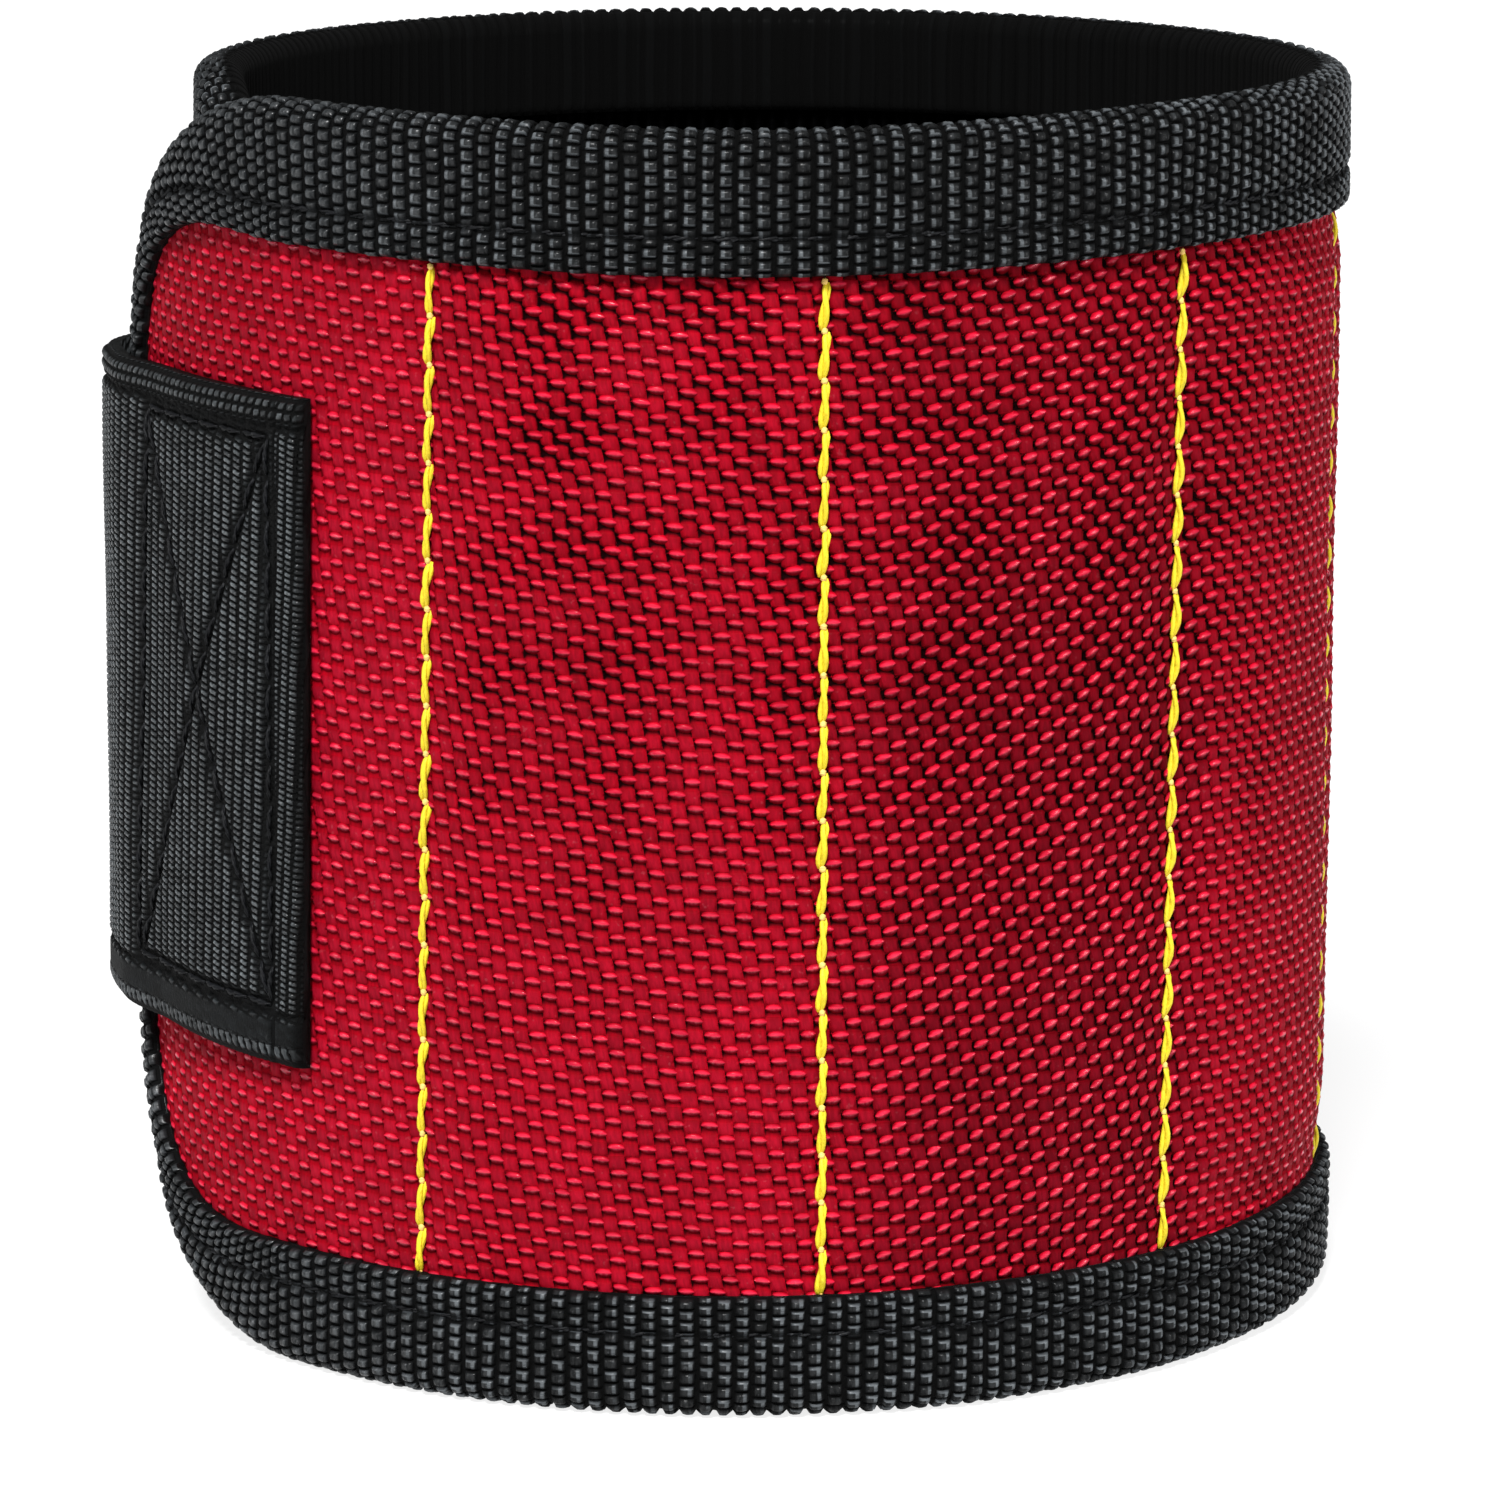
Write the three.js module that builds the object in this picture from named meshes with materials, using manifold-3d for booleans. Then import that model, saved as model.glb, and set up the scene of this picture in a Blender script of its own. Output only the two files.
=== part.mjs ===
import * as THREE from 'three';
import { mergeVertices } from 'three/addons/utils/BufferGeometryUtils.js';
import Module from 'manifold-3d';

// A magnetic wristband, closed into a ring that stands on its lower rim.
// Lengths are millimetres and angles are degrees round the ring: 0 is the front, on -Y,
// and the angle grows towards +X. Depths are measured inwards from the outside of the band.

// The band and its layers
const bandHeight = 90;
const ringRadius = 44.9;
const clearance = 0.3;
const faceThickness = 0.6;
const liningThickness = 0.7;
const bendStep = 7.5;
const cornerSpans = 9;

// The pockets and the stitched seams between them
const pocketCount = 5;
const pocketAngle = 36.8;
const firstSeamAngle = -28.8;
const paddingThickness = 2.1;
const pocketPuff = 0.6;
const pocketRamp = 5;
const paddingEdgeShare = 0.4;
const pocketSpans = 4;

// The magnets, three to a pocket
const magnetDiameter = 12;
const magnetThickness = 1.6;
const magnetsPerPocket = 3;
const magnetBorder = 15;
const magnetSides = 12;
const cutOverrun = 2;

// The yellow thread of a seam
const threadWidth = 0.6;
const threadHeight = 0.4;
const threadWaistShare = 0.55;
const stitchLength = 3.35;
const threadSides = 5;

// The binding folded over every edge
const bindingThickness = 0.8;
const bindingLeg = 10;
const bindingInnerLeg = 8;
const bindingFold = 1;

// The outer end, which carries the strap
const endAngle = -81.5;
const endCorner = 28.5;
const endBindingLeg = 3.6;
const endNarrowing = 60;

// The tail, which lies inside the outer end
const tailGap = 1.4;
const tailOverlap = 17;
const tailCorner = 20;
const tailBindingLeg = 8;

// The webbing strap
const strapWidth = 47.5;
const strapLift = 0.8;
const strapThickness = 1.4;
const strapLapShare = 0.77;
const strapRamp = 2;
const strapStepShare = 0.42;
const stepSpans = 7;
const strapTailMargin = 13.3;
const strapCorner = 9;
const strapOverhang = 1.6;
const strapMiddleShare = 0.39;
const strapBackShare = 0.38;
const hookThickness = 1;
const hookMargin = 3;

// Depths that follow from the layers
const faceDepth = bindingThickness + clearance;
const liningDepth = faceDepth + faceThickness + clearance;
const rimThickness = liningDepth + liningThickness + clearance + bindingThickness;
const liningSwell = paddingThickness + clearance - pocketPuff;
const tailDrop = rimThickness + tailGap;
const tailRadius = ringRadius - tailDrop;

// Angles and spaces that follow from the sizes
const fullTurn = 360;
const seamGap = degreesFor(clearance / 2, tailRadius - rimThickness);
const tailStart = firstSeamAngle + pocketCount * pocketAngle;
const tailEnd = endAngle + fullTurn + degreesFor(tailOverlap, ringRadius);
const tailFold = (tailStart + tailEnd) / 2;
const strapHinge = endAngle - degreesFor(strapOverhang, ringRadius);
const strapEnd = tailStart - fullTurn + degreesFor(strapTailMargin, ringRadius);
const strapFold = strapHinge + strapMiddleShare * (strapEnd - strapHinge);
const strapTipHinge = strapFold + strapBackShare * (strapEnd - strapHinge);
const strapOnTail = strapHinge + strapStepShare * (strapFold - strapHinge);
const tailDropEnd = strapOnTail + fullTurn;
const magnetPitch = (bandHeight - 2 * magnetBorder) / magnetsPerPocket;

const wasm = await Module();
wasm.setup();

const wristband = new THREE.Group();

function degreesFor(length, radius) {
  return THREE.MathUtils.radToDeg(length / radius);
}

function lengthFor(angle, radius) {
  return THREE.MathUtils.degToRad(angle) * radius;
}

function evenSteps(from, to, count) {
  return Array.from({ length: count + 1 }, (_, step) => from + ((to - from) * step) / count);
}

// Steps round the ring that are short enough for its bend.
function bendSteps(from, to) {
  return evenSteps(from, to, Math.ceil(Math.abs(to - from) / bendStep));
}

// Outside radius of the band: round as far as the pockets go, then easing in along the tail.
function bandRadius(angle) {
  return ringRadius - tailDrop * THREE.MathUtils.smoothstep(angle, tailStart, tailDropEnd);
}

function onRing(angle, radius, height) {
  const turn = THREE.MathUtils.degToRad(angle);
  return [radius * Math.sin(turn), -radius * Math.cos(turn), height];
}

function cloth(color, roughness = 0.9) {
  return new THREE.MeshStandardMaterial({ color, roughness, metalness: 0 });
}

const redFace = () => cloth(0xb80022);
const blackBinding = () => cloth(0x232829);
const blackLining = () => cloth(0x17181a);
const blackLoop = () => cloth(0x1c1d1f, 1);
const blackHook = () => cloth(0x121314, 0.7);
const blackWebbing = () => cloth(0x2b2f30, 0.85);
const greyFoam = () => cloth(0x3a3b3d);
const yellowThread = () => cloth(0xf3e11c, 0.6);
const nickel = () => new THREE.MeshStandardMaterial({ color: 0xb9bbbd, roughness: 0.25, metalness: 1 });

function addPiece(name, geometry, material) {
  const piece = new THREE.Mesh(geometry, material);
  piece.name = name;
  wristband.add(piece);
}

// A closed geometry from points and triangles, turned so that its faces point out.
function closedGeometry(points, triangles) {
  const corner = (index) => new THREE.Vector3(...points[index]);
  let volume = 0;
  for (let i = 0; i < triangles.length; i += 3) {
    const [a, b, c] = triangles.slice(i, i + 3).map(corner);
    volume += a.dot(b.cross(c));
  }
  const facing = volume < 0 ? triangles.slice().reverse() : triangles;
  const geometry = new THREE.BufferGeometry();
  geometry.setAttribute('position', new THREE.Float32BufferAttribute(points.flat(), 3));
  geometry.setIndex(facing);
  geometry.computeVertexNormals();
  return geometry;
}

// A slab bent round the ring: rows of heights at each angle, between two radii.
function bentSlab(angles, rowsAt, outerRadiusAt, innerRadiusAt) {
  const rowCount = rowsAt(angles[0]).length;
  const sheet = angles.length * rowCount;
  const points = [outerRadiusAt, innerRadiusAt].flatMap((radiusAt) =>
    angles.flatMap((angle) =>
      rowsAt(angle).map((height) => onRing(angle, radiusAt(angle, height), height))));
  const at = (column, row) => column * rowCount + row;
  const triangles = [];
  for (let column = 0; column < angles.length - 1; column += 1) {
    for (let row = 0; row < rowCount - 1; row += 1) {
      const a = at(column, row);
      const b = at(column + 1, row);
      const c = at(column + 1, row + 1);
      const d = at(column, row + 1);
      triangles.push(a, b, c, a, c, d);
      triangles.push(sheet + a, sheet + c, sheet + b, sheet + a, sheet + d, sheet + c);
    }
  }
  const rim = slabRim(angles.length, rowCount, at);
  rim.forEach((from, index) => {
    const to = rim[(index + 1) % rim.length];
    triangles.push(to, from, sheet + from, to, sheet + from, sheet + to);
  });
  return closedGeometry(points, triangles);
}

function slabRim(columnCount, rowCount, at) {
  const rim = [];
  for (let column = 0; column < columnCount; column += 1) rim.push(at(column, 0));
  for (let row = 1; row < rowCount; row += 1) rim.push(at(columnCount - 1, row));
  for (let column = columnCount - 2; column >= 0; column -= 1) rim.push(at(column, rowCount - 1));
  for (let row = rowCount - 2; row > 0; row -= 1) rim.push(at(0, row));
  return rim;
}

// Rings of points joined one to the next, closed at both ends by the same triangles.
function loft(rings, endTriangles) {
  const size = rings[0].length;
  const triangles = [];
  for (let ring = 0; ring < rings.length - 1; ring += 1) {
    for (let side = 0; side < size; side += 1) {
      const a = ring * size + side;
      const b = ring * size + ((side + 1) % size);
      triangles.push(a, b, b + size, a, b + size, a + size);
    }
  }
  const last = (rings.length - 1) * size;
  for (const [a, b, c] of endTriangles) {
    triangles.push(c, b, a, last + a, last + b, last + c);
  }
  return closedGeometry(rings.flat(), triangles);
}

// The folded binding's section: how far each corner lies from the edge, and how deep.
function bindingSection(outerLeg, innerLeg) {
  const nearShare = 1 - Math.SQRT1_2;
  const near = bindingFold * nearShare;
  const inside = rimThickness - bindingThickness;
  return [
    [outerLeg, 0], [bindingFold, 0], [near, near], [0, bindingFold],
    [0, rimThickness - bindingFold], [near, rimThickness - near], [bindingFold, rimThickness],
    [innerLeg, rimThickness], [innerLeg, inside], [bindingThickness, inside],
    [bindingThickness, bindingThickness], [outerLeg, bindingThickness],
  ];
}

// Binding swept along an edge, from places that name their angle, height, way in and leg.
function edgeBinding(places) {
  const rings = places.map(({ angle, height, alongIn, upIn, leg }) => {
    const radius = bandRadius(angle);
    const innerLeg = Math.min(bindingInnerLeg, leg);
    return bindingSection(leg, innerLeg).map(([inset, depth]) => {
      const there = angle + degreesFor(inset * alongIn, radius);
      return onRing(there, bandRadius(there) - depth, height + inset * upIn);
    });
  });
  return loft(rings, trianglesAcross(bindingSection(bindingLeg, bindingInnerLeg)));
}

// Triangles that fill an outline, all turning the way the outline runs.
function trianglesAcross(outline) {
  const corners = outline.map((corner) => new THREE.Vector2(...corner));
  const area = THREE.ShapeUtils.area;
  return THREE.ShapeUtils.triangulateShape(corners, []).map((triangle) => {
    const sameWay = area(triangle.map((index) => corners[index])) * area(corners) > 0;
    return sameWay ? triangle : triangle.slice().reverse();
  });
}

function straightEdge(from, to, height, upIn) {
  return bendSteps(from, to).map((angle) => ({ angle, height, alongIn: 0, upIn, leg: bindingLeg }));
}

// The edge of a rounded end: along the top, round two corners, and back along the bottom.
function roundedEdge(seam, end, corner, endLeg) {
  const way = Math.sign(end - seam);
  const radius = bandRadius(end);
  const turn = end - way * degreesFor(corner, radius);
  const cornerPlaces = evenSteps(0, 90, cornerSpans).map((swing) => {
    const across = Math.sin(THREE.MathUtils.degToRad(swing));
    const up = Math.cos(THREE.MathUtils.degToRad(swing));
    const narrowing = THREE.MathUtils.smoothstep(swing, 0, endNarrowing);
    return {
      angle: turn + way * degreesFor(corner * across, radius),
      height: bandHeight - corner + corner * up,
      alongIn: -way * across,
      upIn: -up,
      leg: THREE.MathUtils.lerp(bindingLeg, endLeg, narrowing),
    };
  });
  const top = [...straightEdge(seam, turn, bandHeight, -1).slice(0, -1), ...cornerPlaces];
  const bottom = top.map((place) => ({ ...place, height: bandHeight - place.height, upIn: -place.upIn }));
  return [...top, ...bottom.reverse()];
}

// Lowest and highest point of a layer at a distance from a rounded end.
function roundedRows(along, corner, inset) {
  const reach = corner - inset;
  const across = Math.min(reach, Math.max(0, corner - along));
  const drop = corner - Math.sqrt(reach ** 2 - across ** 2);
  return [drop, bandHeight - drop];
}

// Angles that crowd towards a rounded end, where its corners turn fastest.
function roundedAngles(seam, end, corner, inset) {
  const way = Math.sign(end - seam);
  const radius = bandRadius(end);
  const turn = end - way * degreesFor(corner, radius);
  const swings = evenSteps(0, 90, cornerSpans).map((swing) =>
    turn + way * degreesFor((corner - inset) * Math.sin(THREE.MathUtils.degToRad(swing)), radius));
  return [...bendSteps(seam, turn).slice(0, -1), ...swings];
}

// A flat layer of a rounded end, tucked into the binding.
function roundedLayer(seam, end, corner, depth, thickness) {
  const radius = bandRadius(end);
  const inset = bindingThickness + clearance;
  const rowsAt = (angle) => roundedRows(lengthFor(Math.abs(end - angle), radius), corner, inset);
  return bentSlab(
    roundedAngles(seam, end, corner, inset),
    rowsAt,
    (angle) => bandRadius(angle) - depth,
    (angle) => bandRadius(angle) - depth - thickness,
  );
}

// Places across a pocket: both edges, where its padding starts, and where it is full.
function pocketLines(seam) {
  const next = seam + pocketAngle;
  const ramp = degreesFor(pocketRamp, ringRadius);
  const rising = [seam + seamGap, seam + ramp * paddingEdgeShare];
  const falling = [next - ramp * paddingEdgeShare, next - seamGap];
  return [...rising, ...evenSteps(seam + ramp, next - ramp, pocketSpans), ...falling];
}

function pocketRows() {
  const edge = bindingThickness + clearance;
  const rising = [edge, bindingLeg, bindingLeg + pocketRamp * paddingEdgeShare, bindingLeg + pocketRamp];
  return [...rising, ...rising.map((height) => bandHeight - height).reverse()];
}

// How full a pocket is at a place: 0 at its seams and binding, 1 over its padding.
function fullness(seam, angle, height) {
  const fromSeam = lengthFor(Math.min(angle - seam, seam + pocketAngle - angle), ringRadius);
  const fromEdge = Math.min(height, bandHeight - height) - bindingLeg;
  return THREE.MathUtils.clamp(Math.min(fromSeam, fromEdge) / pocketRamp, 0, 1);
}

function pocketLayer(lines, rows, seam, outerDepthAt, innerDepthAt) {
  return bentSlab(
    lines,
    () => rows,
    (angle, height) => ringRadius - outerDepthAt(fullness(seam, angle, height)),
    (angle, height) => ringRadius - innerDepthAt(fullness(seam, angle, height)),
  );
}

const faceOutside = (full) => faceDepth - pocketPuff * full;
const faceInside = (full) => faceOutside(full) + faceThickness;
const liningOutside = (full) => liningDepth + liningSwell * full;
const liningInside = (full) => liningOutside(full) + liningThickness;

// A disc whose axis points straight out of the ring, by its outer face's depth.
function disc(radius, outerDepth, thickness, angle, height) {
  const geometry = new THREE.CylinderGeometry(radius, radius, thickness, magnetSides);
  geometry.translate(0, -(outerDepth + thickness / 2 - ringRadius), 0);
  geometry.rotateX(Math.PI);
  geometry.rotateZ(THREE.MathUtils.degToRad(angle));
  geometry.translate(0, 0, height);
  return geometry;
}

function toManifold(geometry) {
  const bare = geometry.clone();
  bare.deleteAttribute('normal');
  bare.deleteAttribute('uv');
  const merged = mergeVertices(bare);
  return new wasm.Manifold(new wasm.Mesh({
    numProp: 3,
    vertProperties: Float32Array.from(merged.attributes.position.array),
    triVerts: Uint32Array.from(merged.index.array),
  }));
}

function fromManifold(solid) {
  const mesh = solid.getMesh();
  const geometry = new THREE.BufferGeometry();
  geometry.setAttribute('position', new THREE.BufferAttribute(Float32Array.from(mesh.vertProperties), 3));
  geometry.setIndex(new THREE.BufferAttribute(Uint32Array.from(mesh.triVerts), 1));
  geometry.computeVertexNormals();
  return geometry;
}

function magnetHeights() {
  const lowest = bandHeight / 2 - ((magnetsPerPocket - 1) / 2) * magnetPitch;
  return Array.from({ length: magnetsPerPocket }, (_, row) => lowest + row * magnetPitch);
}

// A flat magnet lies as deep as the bend of the face over it needs.
function magnetDepth() {
  const radius = ringRadius - faceInside(1);
  const bend = radius - Math.sqrt(radius ** 2 - (magnetDiameter / 2) ** 2);
  return faceInside(1) + clearance + bend;
}

function pocketPadding(seam) {
  const lines = pocketLines(seam).slice(1, -1);
  const rows = pocketRows().slice(2, -2);
  const middle = seam + pocketAngle / 2;
  const slab = pocketLayer(lines, rows, seam,
    (full) => faceInside(full) + clearance,
    (full) => liningOutside(full) - clearance);
  const holeDepth = liningInside(1) + cutOverrun;
  const holes = magnetHeights().map((height) =>
    toManifold(disc(magnetDiameter / 2 + clearance, -cutOverrun, holeDepth + cutOverrun, middle, height)));
  return fromManifold(holes.reduce((solid, hole) => solid.subtract(hole), toManifold(slab)));
}

function addPocket(number) {
  const seam = firstSeamAngle + (number - 1) * pocketAngle;
  const name = `pocket_${number}`;
  const lines = pocketLines(seam);
  const rows = pocketRows();
  addPiece(`${name}_face`, pocketLayer(lines, rows, seam, faceOutside, faceInside), redFace());
  addPiece(`${name}_padding`, pocketPadding(seam), greyFoam());
  addPiece(`${name}_lining`, pocketLayer(lines, rows, seam, liningOutside, liningInside), blackLining());
  addBindings(name, seam, seam + pocketAngle);
  magnetHeights().forEach((height, row) => {
    const magnet = disc(magnetDiameter / 2, magnetDepth(), magnetThickness, seam + pocketAngle / 2, height);
    addPiece(`${name}_magnet_${row + 1}`, magnet, nickel());
  });
}

function addBindings(name, seam, nextSeam) {
  const from = seam + seamGap;
  const to = nextSeam - seamGap;
  addPiece(`${name}_top_binding`, edgeBinding(straightEdge(from, to, bandHeight, -1)), blackBinding());
  addPiece(`${name}_bottom_binding`, edgeBinding(straightEdge(from, to, 0, 1)), blackBinding());
}

// One seam's thread: a bead that narrows where each stitch dives into the face.
function seamThread(seam) {
  const offset = clearance + threadWidth / 2;
  const angle = seam + degreesFor(offset, ringRadius);
  const depth = faceOutside(fullness(seam, angle, bandHeight / 2)) - clearance - threadHeight / 2;
  const low = bindingLeg + clearance;
  const high = bandHeight - bindingLeg - clearance;
  const stitches = Math.round((high - low) / stitchLength);
  const rings = evenSteps(low, high, stitches * 2).map((height, step) => {
    const share = step % 2 === 0 ? threadWaistShare : 1;
    return Array.from({ length: threadSides }, (_, side) => {
      const turn = (2 * Math.PI * side) / threadSides;
      const across = degreesFor((threadWidth / 2) * share * Math.cos(turn), ringRadius);
      return onRing(angle + across, ringRadius - depth + (threadHeight / 2) * share * Math.sin(turn), height);
    });
  });
  const cap = Array.from({ length: threadSides - 2 }, (_, side) => [0, side + 1, side + 2]);
  return loft(rings, cap);
}

function addOuterEnd() {
  const seam = firstSeamAngle - seamGap;
  const face = roundedLayer(seam, endAngle, endCorner, faceDepth, faceThickness);
  const lining = roundedLayer(seam, endAngle, endCorner, liningDepth, liningThickness);
  addPiece('end_face', face, redFace());
  addPiece('end_lining', lining, blackLining());
  addPiece('end_binding', edgeBinding(roundedEdge(seam, endAngle, endCorner, endBindingLeg)), blackBinding());
}

function addTail() {
  const from = tailStart + seamGap;
  const to = tailFold - seamGap;
  const edge = bindingThickness + clearance;
  const layer = (depth, thickness) => bentSlab(
    bendSteps(from, to),
    () => [edge, bandHeight - edge],
    (angle) => bandRadius(angle) - depth,
    (angle) => bandRadius(angle) - depth - thickness,
  );
  addPiece('tail_1_loop', layer(faceDepth, faceThickness), blackLoop());
  addPiece('tail_1_lining', layer(liningDepth, liningThickness), blackLining());
  addBindings('tail_1', tailStart, tailFold);

  const seam = tailFold + seamGap;
  const loop = roundedLayer(seam, tailEnd, tailCorner, faceDepth, faceThickness);
  const lining = roundedLayer(seam, tailEnd, tailCorner, liningDepth, liningThickness);
  addPiece('tail_2_loop', loop, blackLoop());
  addPiece('tail_2_lining', lining, blackLining());
  addPiece('tail_2_binding', edgeBinding(roundedEdge(seam, tailEnd, tailCorner, tailBindingLeg)), blackBinding());
}

// Places along the strap where it leaves the face, climbs the end's binding and steps down.
const strapPastCorner = Math.max(0, strapWidth / 2 + strapLift + endCorner - bandHeight / 2);
const bindingReach = endCorner - Math.sqrt((endCorner - endBindingLeg) ** 2 - strapPastCorner ** 2);
const strapLeavesFace = endAngle + degreesFor(bindingReach + 2 * clearance + strapRamp, ringRadius);
const strapOnBinding = endAngle + degreesFor(bindingReach + 2 * clearance, ringRadius);
const strapLeavesBinding = endAngle - degreesFor(2 * clearance, ringRadius);

// Inside radius of the strap as it runs off the outer end and on round the tail.
function strapSeat(angle) {
  const onFace = ringRadius - faceDepth + clearance;
  const onBinding = ringRadius + clearance;
  const onTail = bandRadius(angle + fullTurn) - faceDepth + hookThickness + 2 * clearance;
  const climb = THREE.MathUtils.inverseLerp(strapLeavesFace, strapOnBinding, angle);
  const step = 1 - THREE.MathUtils.smoothstep(angle, strapOnTail, strapLeavesBinding);
  const onEnd = THREE.MathUtils.lerp(onFace, onBinding, THREE.MathUtils.clamp(climb, 0, 1));
  return THREE.MathUtils.lerp(onEnd, onTail, step);
}

// Places along the strap's middle, closest where it steps down onto the tail.
function stepDownAngles(from, to) {
  return [...bendSteps(from, strapOnTail).slice(0, -1), ...evenSteps(strapOnTail, to, stepSpans)];
}

function strapPiece(angles, rowsAt) {
  return bentSlab(angles, rowsAt, (angle) => strapSeat(angle) + strapThickness, strapSeat);
}

function addStrap() {
  const low = (bandHeight - strapWidth) / 2 + strapLift;
  const high = low + strapWidth;
  const rows = () => [low, high];
  const gap = degreesFor(clearance / 2, ringRadius);
  const front = endAngle + strapLapShare * (firstSeamAngle - endAngle);
  const rootAngles = [
    strapHinge + gap, strapLeavesBinding, strapOnBinding,
    ...bendSteps(strapLeavesFace, front),
  ];
  addPiece('strap_root', strapPiece(rootAngles, rows), blackWebbing());
  const middleAngles = stepDownAngles(strapFold + gap, strapHinge - gap);
  addPiece('strap_middle', strapPiece(middleAngles, rows), blackWebbing());
  addPiece('strap_back', strapPiece(bendSteps(strapTipHinge + gap, strapFold - gap), rows), blackWebbing());

  const radius = strapSeat(strapEnd);
  const turn = strapEnd + degreesFor(strapCorner, radius);
  const rounded = evenSteps(0, 90, 4).map((swing) =>
    strapEnd + degreesFor(strapCorner * (1 - Math.cos(THREE.MathUtils.degToRad(swing))), radius));
  const tipRows = (angle) => {
    const across = Math.max(0, strapCorner - lengthFor(angle - strapEnd, radius));
    const drop = strapCorner - Math.sqrt(Math.max(0, strapCorner ** 2 - across ** 2));
    return [low + drop, high - drop];
  };
  const tipAngles = [...rounded, ...bendSteps(turn, strapTipHinge - gap).slice(1)];
  addPiece('strap_tip', strapPiece(tipAngles, tipRows), blackWebbing());

  const margin = degreesFor(hookMargin, ringRadius);
  const hooks = bentSlab(
    bendSteps(strapTipHinge + margin, strapFold - margin),
    () => [low + hookMargin, high - hookMargin],
    (angle) => strapSeat(angle) - clearance,
    (angle) => strapSeat(angle) - clearance - hookThickness,
  );
  addPiece('hook_patch', hooks, blackHook());
}

addOuterEnd();
for (let number = 1; number <= pocketCount; number += 1) {
  addPocket(number);
  const seam = firstSeamAngle + (number - 1) * pocketAngle;
  addPiece(`seam_thread_${number}`, seamThread(seam), yellowThread());
}
addTail();
addStrap();

export default wristband;
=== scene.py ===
import math

import bpy
import numpy as np
from mathutils import Matrix, Vector


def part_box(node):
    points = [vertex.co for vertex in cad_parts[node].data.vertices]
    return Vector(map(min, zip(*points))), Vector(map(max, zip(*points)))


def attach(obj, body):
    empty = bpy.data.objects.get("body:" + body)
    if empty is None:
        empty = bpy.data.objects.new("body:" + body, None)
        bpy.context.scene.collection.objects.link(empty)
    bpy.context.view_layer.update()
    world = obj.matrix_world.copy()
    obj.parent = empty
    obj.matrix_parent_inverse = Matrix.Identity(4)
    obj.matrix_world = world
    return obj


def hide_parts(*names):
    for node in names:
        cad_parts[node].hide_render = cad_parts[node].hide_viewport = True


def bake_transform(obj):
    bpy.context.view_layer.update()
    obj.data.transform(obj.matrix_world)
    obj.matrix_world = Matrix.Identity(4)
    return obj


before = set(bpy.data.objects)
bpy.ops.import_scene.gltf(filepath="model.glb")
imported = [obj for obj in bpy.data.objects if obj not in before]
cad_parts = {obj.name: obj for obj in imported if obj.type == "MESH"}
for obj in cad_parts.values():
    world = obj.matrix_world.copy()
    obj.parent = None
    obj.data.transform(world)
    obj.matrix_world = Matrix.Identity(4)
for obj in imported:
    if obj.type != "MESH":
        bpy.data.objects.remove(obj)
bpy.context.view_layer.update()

scene = bpy.context.scene

# Lengths are millimetres until a point is placed, and metres from there on.
# Angles are degrees round the ring: 0 is the front, growing to the right.
mm = 0.001
band = {
    "height": 90, "middle": 45, "radius": 44.9, "rowsFrom": 1.1, "rowsTo": 88.9,
    "tailStart": 155.2, "tailSettled": 259.38, "tailDrop": 5.2,
    "faceDepth": 1.1, "liningDepth": 2.0,
    "frontDip": 1.0, "sideRise": 0.35, "dipSpread": 38,
    "pocketPuff": 0.6, "liningSwell": 1.8, "pocketRamp": 5, "topLeg": 10, "bottomLeg": 8.8,
    "outerEnd": -81.5, "tailEnd": 300.19, "endMargin": 1.5, "endCorner": 28.5, "tailCorner": 20,
    "seams": [(-28.3, -30.0), (7.85, 8.0), (44.75, 44.0), (81.6, 81.6), (118.4, 118.4)],
    "seamTop": 79.8, "seamLength": 71.8,
    "hinges": [-28.8, 8.0, 44.8, 81.6, 118.4, 155.2, 227.7], "bendReach": 9,
    "bodies": ["outer_end"] + [f"pocket_{k}" for k in range(1, 6)] + ["tail_1", "tail_2"],
}
# Angles where one strip of cloth ends and the next begins, all but the first halfway between hinges.
cuts = [band["hinges"][0] - 11.5] + [hinge + 18.4 for hinge in band["hinges"][:5]] + [191.4]


# A number in a node tree, worked with like any other, so that a mesh and its material share one formula.
class Wire:
    def __init__(self, tree, socket):
        self.tree = tree
        self.socket = socket

    def made(self, operation, *others):
        values = [other.socket if isinstance(other, Wire) else other for other in others]
        return Wire(self.tree, maths(self.tree, operation, self.socket, *values))

    def __add__(self, other):
        return self.made("ADD", other)

    def __sub__(self, other):
        return self.made("SUBTRACT", other)

    def __rsub__(self, other):
        return self.made("MULTIPLY_ADD", -1.0, other)

    def __mul__(self, other):
        return self.made("MULTIPLY", other)

    def __truediv__(self, other):
        return self.made("DIVIDE", other)

    __radd__ = __add__
    __rmul__ = __mul__


def either(x, operation, plain, *others):
    return x.made(operation, *others) if isinstance(x, Wire) else plain(x, *others)


def whole(x):
    return either(x, "FLOOR", np.floor)


def odd(x):
    return either(x, "FLOORED_MODULO", np.mod, 2.0)


def sizeOf(x):
    return either(x, "ABSOLUTE", np.abs)


def powerOf(x, power):
    return either(x, "POWER", np.power, power)


def cosine(x):
    return either(x, "COSINE", np.cos)


def atLeast(x, limit):
    return either(x, "MAXIMUM", np.maximum, limit)


def atMost(x, limit):
    return either(x, "MINIMUM", np.minimum, limit)


def smooth(x, low, high):
    t = atMost(atLeast((x - low) / (high - low), 0.0), 1.0)
    return t * t * (3 - 2 * t)


# One yarn's rounded top, from 1 along its middle to 0 at its sides.
def dome(x, width, power):
    return atLeast(1 - powerOf(sizeOf(x) * 2 / width, power), 0.0)


def angleAt(s):
    return np.degrees(s / band["radius"])


def arcTo(angle):
    return math.radians(angle) * band["radius"]


def bandRadius(angle):
    return band["radius"] - band["tailDrop"] * smooth(angle, band["tailStart"], band["tailSettled"])


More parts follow.
